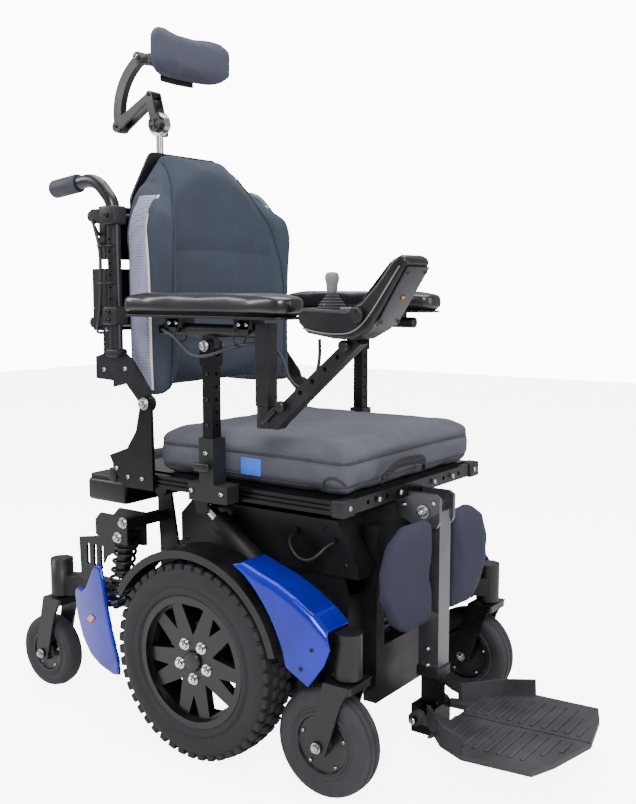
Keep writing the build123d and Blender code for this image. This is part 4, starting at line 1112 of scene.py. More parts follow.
@dataclass
class Suspension:
    """The arms, shrouds and shock absorber of one side."""

    side: Side
    shock_top: tuple[float, float] = (215.0, 362.0)
    shock_foot: tuple[float, float] = (245.0, 226.0)
    coils: float = 6.5

    def spring(self) -> bpy.types.Object:
        """Winds the coil spring over the shock.

        Returns:
            The piece.
        """
        x = self.side.sign * 230
        top, foot = mm(x, *self.shock_top), mm(x, *self.shock_foot)
        along = (foot - top).normalized()
        across = Vector((1, 0, 0))
        third = along.cross(across)
        steps = int(self.coils * 12)
        points = []
        for step in range(steps + 1):
            share = step / steps
            ease = share + 0.035 * math.sin(2 * math.pi * share) * -1
            angle = 2 * math.pi * self.coils * share
            points.append(
                top + along * (0.018 + 0.098 * ease) + (
                    across * math.cos(angle) + third * math.sin(angle)
                ) * 0.0205
            )
        spring = Bench.tube(f"coil_spring_{self.side.hand}", points, 0.0062)
        seat_low = Bench.turned(
            "seat", [(0, 0.008), (0, 0.0235), (0.004, 0.0245), (0.006, 0.018), (0.006, 0.008)],
            top + along * 0.012, along, 36, closed=True
        )
        return Bench.join(spring.name, [spring, seat_low])

    def dome(self, shell: bpy.types.Object, rise: float) -> None:
        """Rounds a shroud's edges and bows it outwards, as a pressing is.

        Args:
            shell: the shroud.
            rise: how far its middle stands out, in millimetres.
        """
        Bench.only(shell)
        Bench.modify(shell, "REMESH", mode="VOXEL", voxel_size=0.0022)
        Bench.modify(shell, "SMOOTH", factor=0.5, iterations=5)
        ys = [vertex.co.y for vertex in shell.data.vertices]
        zs = [vertex.co.z for vertex in shell.data.vertices]
        middle_y, half_y = (min(ys) + max(ys)) / 2, (max(ys) - min(ys)) / 2
        middle_z, half_z = (min(zs) + max(zs)) / 2, (max(zs) - min(zs)) / 2
        for vertex in shell.data.vertices:
            off = ((vertex.co.y - middle_y) / half_y) ** 2 + ((vertex.co.z - middle_z) / half_z) ** 2
            vertex.co.x += self.side.sign * rise / 1000 * max(0.0, 0.6 - off * 0.5)

    def front_hood(self) -> bpy.types.Object:
        """Models the front shroud: a side wall and a top wall that turns in over the arm.

        Returns:
            The piece.
        """
        sign = self.side.sign
        inner = Bench.arc(0, 178, 212, 212, range(116, 171, 6))
        outer = [
            (-252, 190), (-284, 232), (-296, 262), (-288, 288), (-262, 312), (-226, 334), (-186, 352),
            (-144, 364), (-110, 375)
        ]
        outline = [mm(sign * 289, y, z) for y, z in inner + outer]
        hood = Bench.plate(f"front_hood_{self.side.hand}", outline, Vector((-sign * 0.070, 0, 0)), 0.0)
        for face in hood.data.polygons:
            middle = sum((hood.data.vertices[i].co for i in face.vertices), Vector()) / len(face.vertices)
            wall = abs(face.normal.x) > 0.9
            beyond = middle.z < 0.300 or face.normal.z < 0.3 or middle.y > AXLE_Y - 0.105
            face.select = abs(middle.x) < 0.25 if wall else beyond
        self.open_shell(hood, 0.022)
        self.dome(hood, 8.0)
        bosses = [
            Bench.turned(
                "boss", [(0, 0), (0, 0.005), (0.030, 0.005), (0.030, 0)], mm(sign * 252, y, 240),
                outward(sign), 16
            )
            for y in (-220, -246)
        ]
        return Bench.settle(Bench.join(hood.name, [hood, *bosses]), hood.name, 60.0)

    def rear_panel(self) -> bpy.types.Object:
        """Models the rear shroud: a slanting bowed wall with a turned-in rim.

        Returns:
            The piece.
        """
        sign = self.side.sign
        rim = [
            (201, 128), (197, 102), (222, 96), (262, 102), (298, 116), (326, 144), (346, 184), (358, 226),
            (352, 240),
            (338, 244), (322, 242), (308, 252), (296, 272), (286, 291), (273, 302), (257, 301), (246, 280),
            (222, 196),
        ]
        outline = [mm(sign * (279 - (y - 188) * 40 / 184), y, z) for y, z in rim]
        panel = Bench.plate(f"rear_shroud_{self.side.hand}", outline, Vector((-sign * 0.008, 0, 0)), 0.0)
        for face in panel.data.polygons:
            inner = abs(face.normal.x) > 0.8 and face.normal.x * sign < 0
            face.select = inner
        self.open_shell(panel, 0.005)
        self.dome(panel, 10.0)
        bosses = []
        for y in (284, 330):
            reach = (279 - (y - 188) * 40 / 184 - 2 - 198) / 1000
            bosses.append(
                Bench.turned(
                    "boss", [(0, 0), (0, 0.006), (reach, 0.006), (reach, 0)], mm(sign * 198.1, y, 223),
                    outward(sign), 16
                )
            )
        return Bench.settle(Bench.join(panel.name, [panel, *bosses]), panel.name, 60.0)

    @staticmethod
    def open_shell(piece: bpy.types.Object, edge: float) -> None:
        """Cuts the selected faces away, rounds the edges and gives the rest a wall.

        Args:
            piece: a plain form with the faces to cut selected.
            edge: the width of the rounded edges in metres.
        """
        chosen = [face.select for face in piece.data.polygons]
        Bench.only(piece)
        bpy.context.tool_settings.mesh_select_mode = (False, False, True)
        bpy.ops.object.mode_set(mode="EDIT")
        bpy.ops.mesh.select_all(action="DESELECT")
        bpy.ops.object.mode_set(mode="OBJECT")
        for face, cut in zip(piece.data.polygons, chosen):
            face.select = cut
        bpy.ops.object.mode_set(mode="EDIT")
        bpy.ops.mesh.delete(type="FACE")
        bpy.ops.object.mode_set(mode="OBJECT")
        bpy.context.tool_settings.mesh_select_mode = (True, False, False)
        Bench.modify(piece, "BEVEL", width=edge, segments=6, limit_method="ANGLE", angle_limit=SHARP_EDGE)
        Bench.modify(piece, "SOLIDIFY", thickness=0.0045, offset=-1, use_even_offset=True)

    def rear_pieces(self) -> bpy.types.Object:
        """Takes the rear arm's beam out of its node and models its blue shroud anew.

        Returns:
            The shroud.
        """
        hand = self.side.hand
        Bench.twin(f"rear_arm_beam_{hand}", f"rear_arm_{hand}")
        with editing():
            bpy.ops.mesh.separate(type="LOOSE")
        parts = sorted(
            bpy.context.selected_objects, key=lambda part: max(abs(v.co.x) for v in part.data.vertices)
        )
        beam, shroud = parts[0], parts[-1]
        Bench.settle(beam, f"rear_arm_beam_{hand}")
        bpy.data.objects.remove(shroud)
        shroud = self.rear_panel()
        Bench.finish(beam, f"rear_arm_{hand}", POWDER_COAT, "frame_black", f"rear_arm_{hand}")
        return Bench.finish(shroud, f"rear_arm_{hand}", CANDY_BLUE, "blue_shroud")

    def build(self) -> None:
        """Models the spring and the shrouds and adds the reflector and screws."""
        hand, sign = self.side.hand, self.side.sign
        spring = Bench.finish(self.spring(), f"shock_body_{hand}", POWDER_COAT, "frame_black")
        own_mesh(spring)
        rear = self.rear_pieces()
        for name, finish in (
            (f"shock_body_{hand}", POWDER_COAT), (f"shock_rod_{hand}", CHROME),
            (f"front_arm_{hand}", POWDER_COAT)
        ):
            Paints.dress_node(name, finish)
        front = self.front_hood()
        Bench.finish(front, f"front_arm_{hand}", CANDY_BLUE, "blue_shroud", f"front_shroud_{hand}")
        inward = Vector((-sign, 0, 0))
        corners = [mm(sign * 400, 284 + dy, 194 + dz) for dy, dz in ((-15, 5), (0, 8), (15, -5), (0, -8))]
        lozenge = Upholstery.laid(rear, corners, inward, 0.0003)
        lamp = Bench.plate(f"rear_reflector_{hand}", lozenge, inward * -0.0024, 0.0006)
        Bench.finish(lamp, f"rear_arm_{hand}", AMBER, "blue_shroud")
        heads = Upholstery.laid(front, [mm(sign * 400, y, z) for y, z in ((-262, 256), (-240, 220))], inward)
        spots = [(head, outward(sign)) for head in heads]
        Screws(
            f"front_shroud_screws_{hand}", f"front_arm_{hand}", "bright_steel", Head.BUTTON, 4.0, spots,
            POWDER_COAT
        ).build()
        pins = [(mm(sign * 202, -105, 240), outward(sign)), (mm(sign * 202, 105, 215), outward(sign))]
        Screws(f"arm_pin_bolts_{hand}", "base", "bright_steel", Head.HEX, 9.0, pins).build()
        tower = [(mm(sign * 255, *self.shock_top), outward(sign)), (mm(sign * 255, 200, 392), outward(sign))]
        Screws(f"shock_bolts_{hand}", "base", "bright_steel", Head.HEX, 8.0, tower).build()


@dataclass
class Base:
    """The powered base: frame finish, cover trim, grilles and leads."""

    lead_mm: float = 5.0

    def grille(self) -> bpy.types.Object:
        """Models the slotted front grille.

        Returns:
            The piece.
        """
        slats = []
        for row in range(7):
            z = 214 + row * 15
            slat = Bench.block("slat", mm(-86, -241, z), mm(86, -236, z + 8), 0.0015, 2)
            slats.append(slat)
        rails = [
            Bench.block("stile", mm(x - 5, -242, 206), mm(x + 5, -235.5, 318), 0.0015, 2)
            for x in (-86, 0, 86)
        ]
        return Bench.join("front_grille", slats + rails)

    def build(self) -> None:
        """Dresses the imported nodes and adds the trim."""
        for name, finish in (
            ("base_frame", POWDER_COAT), ("base_cover", ABS_BLACK), ("batteries", ABS_BLACK),
            ("drive_motors", DIE_CAST),
            ("fenders", ABS_BLACK), ("tilt_actuator", DIE_CAST), ("tilt_rod", CHROME),
        ):
            Paints.dress_node(name, finish)
        Bench.finish(self.grille(), "base", ABS_BLACK, "cover_black")
        x = -156
        route = [
            (x - 1, -128, 404), (x - 20, -130, 400), (x - 33, -142, 384), (x - 35, -160, 368),
            (x - 34, -182, 366), (x - 32, -200, 378), (x - 20, -208, 392), (x - 1, -210, 396),
        ]
        lead = Bench.tube("charger_lead", [mm(*point) for point in route], self.lead_mm / 1000, as_mesh=False)
        Bench.finish(lead, "base", CABLE, "cable_black", "base_cable")
        spots = [
            (mm(sign * 150, y, z), outward(sign))
            for sign in (-1, 1)
            for y, z in ((-232, 356), (134, 352), (-190, 416), (100, 416))
        ]
        Screws("cover_screws", "base", "bright_steel", Head.BUTTON, 4.0, spots, POWDER_COAT).build()
        ridge = Bench.plate(
            "cover_ridge",
            [mm(-140, -196, 432), mm(-120, -200, 438), mm(120, -200, 438), mm(140, -196, 432)],
            Vector((0, 0.290, 0)),
            0.002,
        )
        Bench.finish(ridge, "base", ABS_BLACK, "cover_black")


@dataclass
class Seat:
    """The seat: rails, upholstered cushion, hardware and the electronics behind."""

    half_width: float = 227.0
    front: float = -286.0
    depth: float = 436.0
    low: float = 491.0
    high: float = 569.0

    def cushion(self) -> None:
        """Models the cushion with its crown, seams, piping, strap and pocket."""
        h, f, b = self.half_width, self.front, self.front + self.depth
        form = Bench.block("seat_pad", mm(-h, f, self.low + 1), mm(h, b, self.high), 0.018, 4)
        Upholstery.puff(form, 0.0052, 0.011, 0.003, rounds=10)
        for vertex in form.data.vertices:
            vertex.co.z = max(vertex.co.z, self.low / 1000 + 0.0005)
        seam = Upholstery.laid_ring(form, self.ring(545), 0.0)
        Upholstery.groove(form, seam, 0.011, 0.003)
        low_seam = Upholstery.laid_ring(form, self.ring(506), 0.0)
        Upholstery.groove(form, low_seam, 0.008, 0.002)
        across = Upholstery.laid(
            form, Upholstery.line([mm(-h + 24, f + 250, 640), mm(h - 24, f + 250, 640)]), Vector((0, 0, -1))
        )
        Upholstery.groove(form, across, 0.022, 0.0025)
        Bench.finish(form, "seat", SEAT_CLOTH, "seat_fabric", "seat_cushion")
        for name, level, size in (("seat_upper_piping", 545, 0.0042), ("seat_lower_piping", 506, 0.0032)):
            path = Upholstery.laid_ring(form, self.ring(level), 0.0006)[::4]
            Bench.finish(Bench.tube(name, path, size, ring=True), "seat", DARK_PIPING, "seat_fabric")
        self.strap()
        self.pocket(form)

    def ring(self, level: float) -> list[Vector]:
        """Points round the cushion's sides at one level.

        Args:
            level: height above the floor in millimetres.

        Returns:
            Points on a rounded rectangle a little outside the cushion.
        """
        h, f, b = self.half_width + 20, self.front - 20, self.front + self.depth + 20
        points = Bench.rounded(-h, h, f, b, 40, level)
        return Upholstery.line(points + points[:1], 0.004)

    def strap(self) -> None:
        """Models the carrying strap on the cushion's front."""
        h = self.front
        path = [
            mm(-120, h + 2, 520), mm(-118, h - 5, 522), mm(-90, h - 10, 526), mm(-40, h - 12, 526),
            mm(0, h - 12, 525), mm(18, h - 5, 522), mm(20, h + 2, 520)
        ]
        strap = Bench.tube("seat_strap", path, 0.004)
        for vertex in strap.data.vertices:
            vertex.co.z = 0.524 + (vertex.co.z - 0.524) * 4.2
        Bench.finish(strap, "seat", POUCH_CLOTH, "seat_fabric")

    def pocket(self, form: bpy.types.Object) -> None:
        """Models the piped half-round pocket and the tag on the right side.

        Args:
            form: the cushion.
        """
        x = -self.half_width - 30
        arc = [mm(x, y, z) for y, z in Bench.arc(-252, 500, 24, 22, range(0, 181, 10))]
        path = Upholstery.laid(form, arc, Vector((1, 0, 0)), 0.0006)
        if len(path) > 4:
            Bench.finish(Bench.tube("seat_pocket_piping", path, 0.0042), "seat", DARK_PIPING, "seat_fabric")
        spot = Upholstery.laid(form, [mm(x, -76, 522)], Vector((1, 0, 0)), 0.0004)
        if spot:
            tag = Bench.block(
                "seat_tag", spot[0] + Vector((-0.0016, -0.022, -0.015)),
                spot[0] + Vector((0.0012, 0.022, 0.015)), 0.0006, 2
            )
            Bench.finish(tag, "seat", BLUE_TAG, "seat_fabric")

    def electronics(self) -> None:
        """Models the box behind the seat, its lid and rolled cover."""
        box = Bench.block("electronics_box", mm(-165, 286, 398), mm(165, 398, 444), 0.008, 4)
        lid = Bench.block("electronics_lid", mm(-160, 290, 442), mm(160, 394, 453), 0.004, 3)
        foot = Bench.block("electronics_foot", mm(-120, 253, 442), mm(120, 300, 460), 0.003, 2)
        lip = Bench.block("electronics_bracket", mm(-120, 251.5, 442), mm(120, 259, 488), 0.002, 2)
        fins = [
            Bench.block("fin", mm(x, 396, 404), mm(x + 4, 401, 438), 0.001, 2) for x in range(-150, 150, 14)
        ]
        case = Bench.join("electronics_box", [box, lid, foot, lip, *fins])
        Bench.finish(case, "seat", ABS_BLACK, "cover_black", "power_module")
        roll = Bench.block("rear_roll", mm(-160, 301, 453), mm(160, 343, 496), 0.016, 5)
        Upholstery.puff(roll, 0.0045, 0.007, 0.003)
        Bench.finish(roll, "seat", ROLL_CLOTH, "seat_fabric")
        for x in (-110, 0, 110):
            loop = [mm(x, y, z) for y, z in Bench.arc(322, 474, 23, 23, range(0, 360, 20))]
            band = Bench.tube(f"roll_band_{x + 200}", loop, 0.0035, ring=True)
            for vertex in band.data.vertices:
                vertex.co.x = x / 1000 + (vertex.co.x - x / 1000) * 4
            Bench.finish(band, "seat", POUCH_CLOTH, "cover_black")

    def build(self) -> None:
        """Dresses the rails and models everything on them."""
        for name, finish in (
            ("seat_frame", ANODISED_RAIL), ("arm_receivers", DIE_CAST), ("leg_housing", GRAPHITE)
        ):
            Paints.dress_node(name, finish)
        self.cushion()
        self.electronics()
        caps = []
        for sign in (-1, 1):
            for low, high in ((-287, -262), (236, 254)):
                x0, x1 = sorted((sign * 203, sign * 238))
                caps.append(Bench.block("corner", mm(x0, low, 461), mm(x1, high, 489.5), 0.003, 3))
        Bench.finish(Bench.join("rail_corners", caps), "seat", DIE_CAST, "rail_black")
        spots = [(mm(x, -287, 476), Vector((0, -1, 0))) for x in (-219, 219, -130, 130, -60, 60)]
        Screws("front_rail_screws", "seat", "bright_steel", Head.BUTTON, 5.0, spots).build()
        spots = []
        for sign, post in ((-1, -25), (1, 5)):
            for y in (post - 34, post + 34):
                spots.append((mm(sign * 272.7, y, 480), outward(sign)))
            spots.append((mm(sign * 272.2, post, 548), outward(sign)))
        Screws("receiver_screws", "seat", "bright_steel", Head.SOCKET, 4.6, spots).build()
        levers = []
        for sign, post in ((-1, -25), (1, 5)):
            x0, x1 = sorted((sign * 272, sign * 286))
            levers.append(Bench.block("lever", mm(x0, post - 9, 520), mm(x1, post + 9, 530), 0.003, 3))
            levers.append(
                Bench.block(
                    "lever", mm(min(sign * 280, sign * 287), post - 16, 517),
                    mm(max(sign * 280, sign * 287), post + 16, 533), 0.004, 3
                )
            )
        Bench.finish(Bench.join("receiver_levers", levers), "seat", ABS_BLACK, "cover_black")
        pivots = [(mm(sign * 245, 149, 619), outward(sign)) for sign in (-1, 1)]
        Screws("recline_bolts", "back", "bright_steel", Head.HEX, 9.0, pivots).build()
        plates = [
            (mm(sign * 242, y, z), outward(sign))
            for sign in (-1, 1)
            for y, z in ((160, 478), (196, 478), (226, 492))
        ]
        Screws("recline_plate_screws", "seat", "bright_steel", Head.SOCKET, 4.6, plates).build()


@dataclass
class Back:
    """The back: contoured cushion, side mesh, shell finish, canes, grips and cables."""

    half: float = 208.0
    top: float = 1102.0
    cane_x: float = 232.5

    def cushion(self) -> None:
        """Models the cushion, its bolster seams, side mesh and edge piping."""
        form = Bench.twin("back_pad", "back_cushion")
        Upholstery.puff(form, 0.0056, 0.012, 0.0020, rounds=30)
        for vertex in form.data.vertices:
            vertex.co.y = min(vertex.co.y, 0.3038)
        sides = (-1, 1)
        for sign in sides:
            seam = [
                mm(sign * 172, 0, 632), mm(sign * 170, 0, 800), mm(sign * 164, 0, 880),
                mm(sign * 146, 0, 960), mm(sign * 112, 0, 1030), mm(sign * 84, 0, 1096)
            ]
            path = Upholstery.laid(form, Upholstery.line(seam), Vector((0, 1, 0)))
            Upholstery.groove(form, path, 0.018, 0.0035)
            if path:
                cord = Bench.tube(
                    f"bolster_seam_{'left' if sign > 0 else 'right'}", path[::5] + path[-1:], 0.0026
                )
                Bench.finish(cord, "back", BACK_CLOTH, "back_fabric")
        for level in (716, 806, 896):
            rows = [
                mm(-140 + step * 4, 0, level + 8 * math.cos(math.radians(step * 2.6 - 90)))
                for step in range(71)
            ]
            path = Upholstery.laid(form, rows, Vector((0, 1, 0)))
            Upholstery.groove(form, path, 0.030, 0.0030)
        Bench.finish(form, "back", BACK_CLOTH, "back_fabric", "back_cushion")
        for sign in sides:
            self.side_strip(form, sign)

    def side_strip(self, form: bpy.types.Object, sign: int) -> None:
        """Models the mesh strip down one side and the piping at its two edges.

        Args:
            form: the cushion.
            sign: +1 on the left and -1 on the right.
        """
        hand = "left" if sign > 0 else "right"
        inward = Vector((-sign, 0, 0))
        x = sign * 260
        edges = []
        for share in (0.0, 0.25, 0.5, 0.75, 1.0):
            column = []
            for z in range(640, 1001, 12):
                lean = max(0.0, (z - 920) / 80) * 18
                y = 168 + lean + (218 - 168 - lean * 0.4) * share
                column.append(mm(x, y, z))
            laid = Upholstery.laid(form, column, inward, 0.0009)
            if len(laid) == len(column):
                edges.append(laid)
        if len(edges) < 2:
            return
        Bench.clear()
        bpy.ops.mesh.primitive_grid_add(
            x_subdivisions=len(edges) - 1, y_subdivisions=len(edges[0]) - 1, size=1
        )
        strip = bpy.context.object
        columns = len(edges)
        order = sorted(strip.data.vertices, key=lambda v: (round(v.co.y, 4), round(v.co.x, 4)))
        for index, vertex in enumerate(order):
            vertex.co = edges[index % columns][index // columns]
        Bench.only(strip)
        Bench.modify(strip, "SOLIDIFY", thickness=0.0022, offset=0)
        with editing():
            bpy.ops.mesh.normals_make_consistent(inside=False)
        Bench.settle(strip, f"side_mesh_{hand}", 60.0)
        Bench.finish(strip, "back", SIDE_MESH, "back_fabric")
        for tag, edge in (("front", edges[0]), ("rear", edges[-1])):
            cord = Bench.tube(f"side_piping_{tag}_{hand}", edge[::3] + edge[-1:], 0.0042)
            Bench.finish(cord, "back", CREAM_PIPING if tag == "front" else DARK_PIPING, "back_fabric")

    def grips(self) -> None:
        """Models the push grips."""
        parts = []
        start, end = (322, 1025.5), (392, 1017.3)
        for sign in (-1, 1):
            a, b = mm(sign * self.cane_x, *start), mm(sign * self.cane_x, *end)
            length = (b - a).length
            profile = [(0, 0.0128), (0, 0.0165), (0.002, 0.0175)]
            profile += [
                (length - 0.004, 0.0175), (length - 0.001, 0.0160), (length, 0.0125), (length + 0.0008, 0)
            ]
            parts.append(Bench.turned("grip", profile, a, b - a, 40))
        Bench.finish(Bench.join("push_grip_pair", parts), "back", GRIP, "grip_rubber", "push_grips")

    def hardware(self) -> None:
        """Models clamps, screws and the cables on the canes and shell."""
        clamps = []
        for sign in (-1, 1):
            for z in (778, 962):
                x0, x1 = sorted((sign * 216, sign * 250))
                clamps.append(Bench.block("clamp", mm(x0, 213, z - 17), mm(x1, 252, z + 17), 0.004, 3))
            x0, x1 = sorted((sign * 218, sign * 247))
            clamps.append(Bench.block("clamp", mm(x0, 215, 700), mm(x1, 247, 716), 0.004, 3))
        Bench.finish(Bench.join("cane_clamps", clamps), "back", DIE_CAST, "cast_black")
        spots = [(mm(sign * 250, 232, z), outward(sign)) for sign in (-1, 1) for z in (770, 786, 962)]
        Screws("clamp_screws", "back", "bright_steel", Head.SOCKET, 4.6, spots, POWDER_COAT).build()
        spots = [
            (mm(sign * 234.4, y, z), outward(sign))
            for sign in (-1, 1)
            for y, z in ((238, 730), (252, 752), (262, 676), (206, 680))
        ]
        Screws("back_plate_screws", "back", "bright_steel", Head.SOCKET, 4.6, spots).build()
        spots = [(mm(x, 350, z), Vector((0, 1, 0))) for x in (-160, 160) for z in (766, 846)]
        spots += [(mm(x, 328, z), Vector((0, 1, 0))) for x in (-160, 160) for z in (902, 966)]
        Screws("rear_cover_screws", "back", "bright_steel", Head.BUTTON, 4.6, spots).build()
        for index, (low, high, y) in enumerate(((760, 852, 350), (898, 972, 328))):
            frame_bits = [
                Bench.block("rib", mm(-140, y - 1, low), mm(140, y + 3, low + 6), 0.0015, 2),
                Bench.block("rib", mm(-140, y - 1, high - 6), mm(140, y + 3, high), 0.0015, 2),
                Bench.block("rib", mm(-143, y - 1, low), mm(-137, y + 3, high), 0.0015, 2),
                Bench.block("rib", mm(137, y - 1, low), mm(143, y + 3, high), 0.0015, 2),
            ]
            frame_bits += [
                Bench.block(
                    "rib", mm(-120 + 40 * k, y - 1, low + 10), mm(-108 + 40 * k, y + 2, high - 10), 0.0015,
                    2
                )
                for k in range(7)
            ]
            Bench.finish(Bench.join(f"rear_cover_ribs_{index}", frame_bits), "back", ABS_BLACK, "cover_black")
        for sign in (-1, 1):
            hand = "left" if sign > 0 else "right"
            x = sign * 240
            runs = [
                [
                    (sign * 186, 322, 930), (sign * 205, 316, 950), (sign * 232, 292, 962),
                    (x + sign * 12, 262, 940), (x + sign * 13, 247, 900), (x + sign * 12, 249, 850),
                    (x + sign * 11, 252, 800), (x + sign * 10, 262, 760), (sign * 226, 290, 740),
                    (sign * 180, 312, 744)
                ],
                [
                    (sign * 186, 318, 912), (sign * 210, 300, 925), (x, 262, 915), (x + sign * 6, 253, 880),
                    (x + sign * 5, 256, 830), (x + sign * 4, 260, 790), (sign * 222, 284, 756),
                    (sign * 182, 306, 752)
                ],
            ]
            for number, run in enumerate(runs):
                cable = Bench.tube(f"cane_cable_{hand}_{number}", [mm(*p) for p in run], 0.0055)
                Bench.finish(cable, "back", CABLE, "cable_black")
            ties = []
            for z in (838, 906):
                loop = [
                    mm(along, back, z)
                    for along, back in Bench.arc(sign * 243, 241, 15, 20, range(0, 360, 30))
                ]
                ties.append(Bench.tube("tie", loop, 0.003, ring=True))
            Bench.finish(Bench.join(f"cane_ties_{hand}", ties), "back", ABS_BLACK, "cable_black")

    def build(self) -> None:
        """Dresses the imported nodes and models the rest."""
        for name, finish in (("back_canes", SATIN_BLACK), ("back_shell", ABS_BLACK)):
            Paints.dress_node(name, finish)
        self.cushion()
        self.grips()
        self.hardware()


@dataclass
class Headrest:
    """The headrest: pad, its clevis and the dressed links."""

    half: float = 112.0

    def build(self) -> None:
        """Models the pad and the details of the linkage."""
        for name, finish in (
            ("headrest_post", ZINC), ("headrest_lower_link", POWDER_COAT),
            ("headrest_upper_link", POWDER_COAT)
        ):
            Paints.dress_node(name, finish)
        outline = []
        for step in range(13):
            share = step / 12 * 2 - 1
            outline.append(mm(self.half * share, 252 - 25 * share * share, 1240))
        for step in range(13):
            share = 1 - step / 12 * 2
            outline.append(mm(self.half * share, 288 - 35 * share * share, 1240))
        form = Bench.plate("headrest_cushion", outline, Vector((0, 0, 0.096)), 0.008, 3)
        Upholstery.puff(form, 0.0042, 0.008, 0.001, rounds=26)
        for vertex in form.data.vertices:
            share = vertex.co.x / 0.112
            end = max(0.0, abs(share) - 0.58) / 0.46
            vertex.co.z = 1.287 + (vertex.co.z - 1.287) * math.sqrt(max(0.06, 1 - end * end)) + 0.001
        seam = [mm(self.half * (s / 20 - 1) * 0.95, 264 - 28 * ((s / 20 - 1) ** 2), 1400) for s in range(41)]
        for name, drop, inward in (
            ("upper", seam, Vector((0, 0, -1))),
            ("lower", [Vector((p.x, p.y, 1.18)) for p in seam], Vector((0, 0, 1)))
        ):
            path = Upholstery.laid(form, drop, inward, 0.0)
            Upholstery.groove(form, path, 0.007, 0.0018)
            cord = Bench.tube(
                f"headrest_piping_{name}", Upholstery.laid(form, drop, inward, 0.0004)[::3], 0.0034
            )
            Bench.finish(cord, "headrest_pad", HEAD_CLOTH, "head_fabric")
        Bench.finish(form, "headrest_pad", HEAD_CLOTH, "head_fabric", "headrest_pad")
        clevis = Bench.twin("headrest_clevis", "headrest_pad")
        with editing():
            bpy.ops.mesh.bisect(
                plane_co=mm(0, 286, 1287), plane_no=(0, -1, 0), use_fill=True, clear_outer=True
            )
            bpy.ops.mesh.select_all(action="SELECT")
            bpy.ops.mesh.normals_make_consistent(inside=False)
        Bench.finish(Bench.settle(clevis, "headrest_clevis"), "headrest_pad", POWDER_COAT, "frame_black")
        plate = Bench.turned(
            "headrest_ball_plate",
            [(0, 0), (0, 0.024), (0.004, 0.026), (0.008, 0.020), (0.012, 0.012), (0.012, 0)],
            mm(0, 286, 1286), Vector((0, 1, 0.16)), 40
        )
        Bench.finish(plate, "headrest_pad", POWDER_COAT, "frame_black")
        discs = []
        for sign in (-1, 1):
            rosette = [
                (0, 0), (0, 0.017), (0.0015, 0.0172), (0.003, 0.0158), (0.003, 0.012), (0.0042, 0.011),
                (0.0042, 0.0055), (0.006, 0.005), (0.006, 0)
            ]
            discs.append(Bench.turned("rosette", rosette, mm(sign * 14.5, 337, 1164), outward(sign), 36))
        Bench.finish(Bench.join("headrest_rosettes", discs), "headrest_lower", DISPLAY_BACK, "bright_steel")
        spots = []
        for sign in (-1, 1):
            for turn in range(4):
                angle = math.radians(45 + 90 * turn)
                spots.append(
                    (mm(sign * 17.3, 337 + 9 * math.cos(angle), 1164 + 9 * math.sin(angle)), outward(sign))
                )
            spots.append((mm(sign * 14.5, 450, 1168), outward(sign)))
            spots.append((mm(sign * 14.5, 353, 1224), outward(sign)))
        Screws(
            "headrest_link_bolts", "headrest_lower", "bright_steel", Head.SOCKET, 3.6, spots, POWDER_COAT
        ).build()
        spots = [(mm(sign * 14.5, 385, 1302), outward(sign)) for sign in (-1, 1)]
        Screws("headrest_tilt_bolts", "headrest_pad", "bright_steel", Head.SOCKET, 6.0, spots).build()
        lever = Bench.block("headrest_lever", mm(14, 330, 1140), mm(20, 344, 1150), 0.002, 2)
        lock = Bench.turned(
            "lock_knob", [(0, 0.006), (0.004, 0.010), (0.012, 0.011), (0.016, 0.008), (0.016, 0)],
            mm(24, 337, 1035), Vector((1, 0, 0)), 12
        )
        Bench.finish(lever, "headrest_lower", POWDER_COAT, "frame_black")
        Bench.finish(lock, "back", ABS_BLACK, "cover_black")


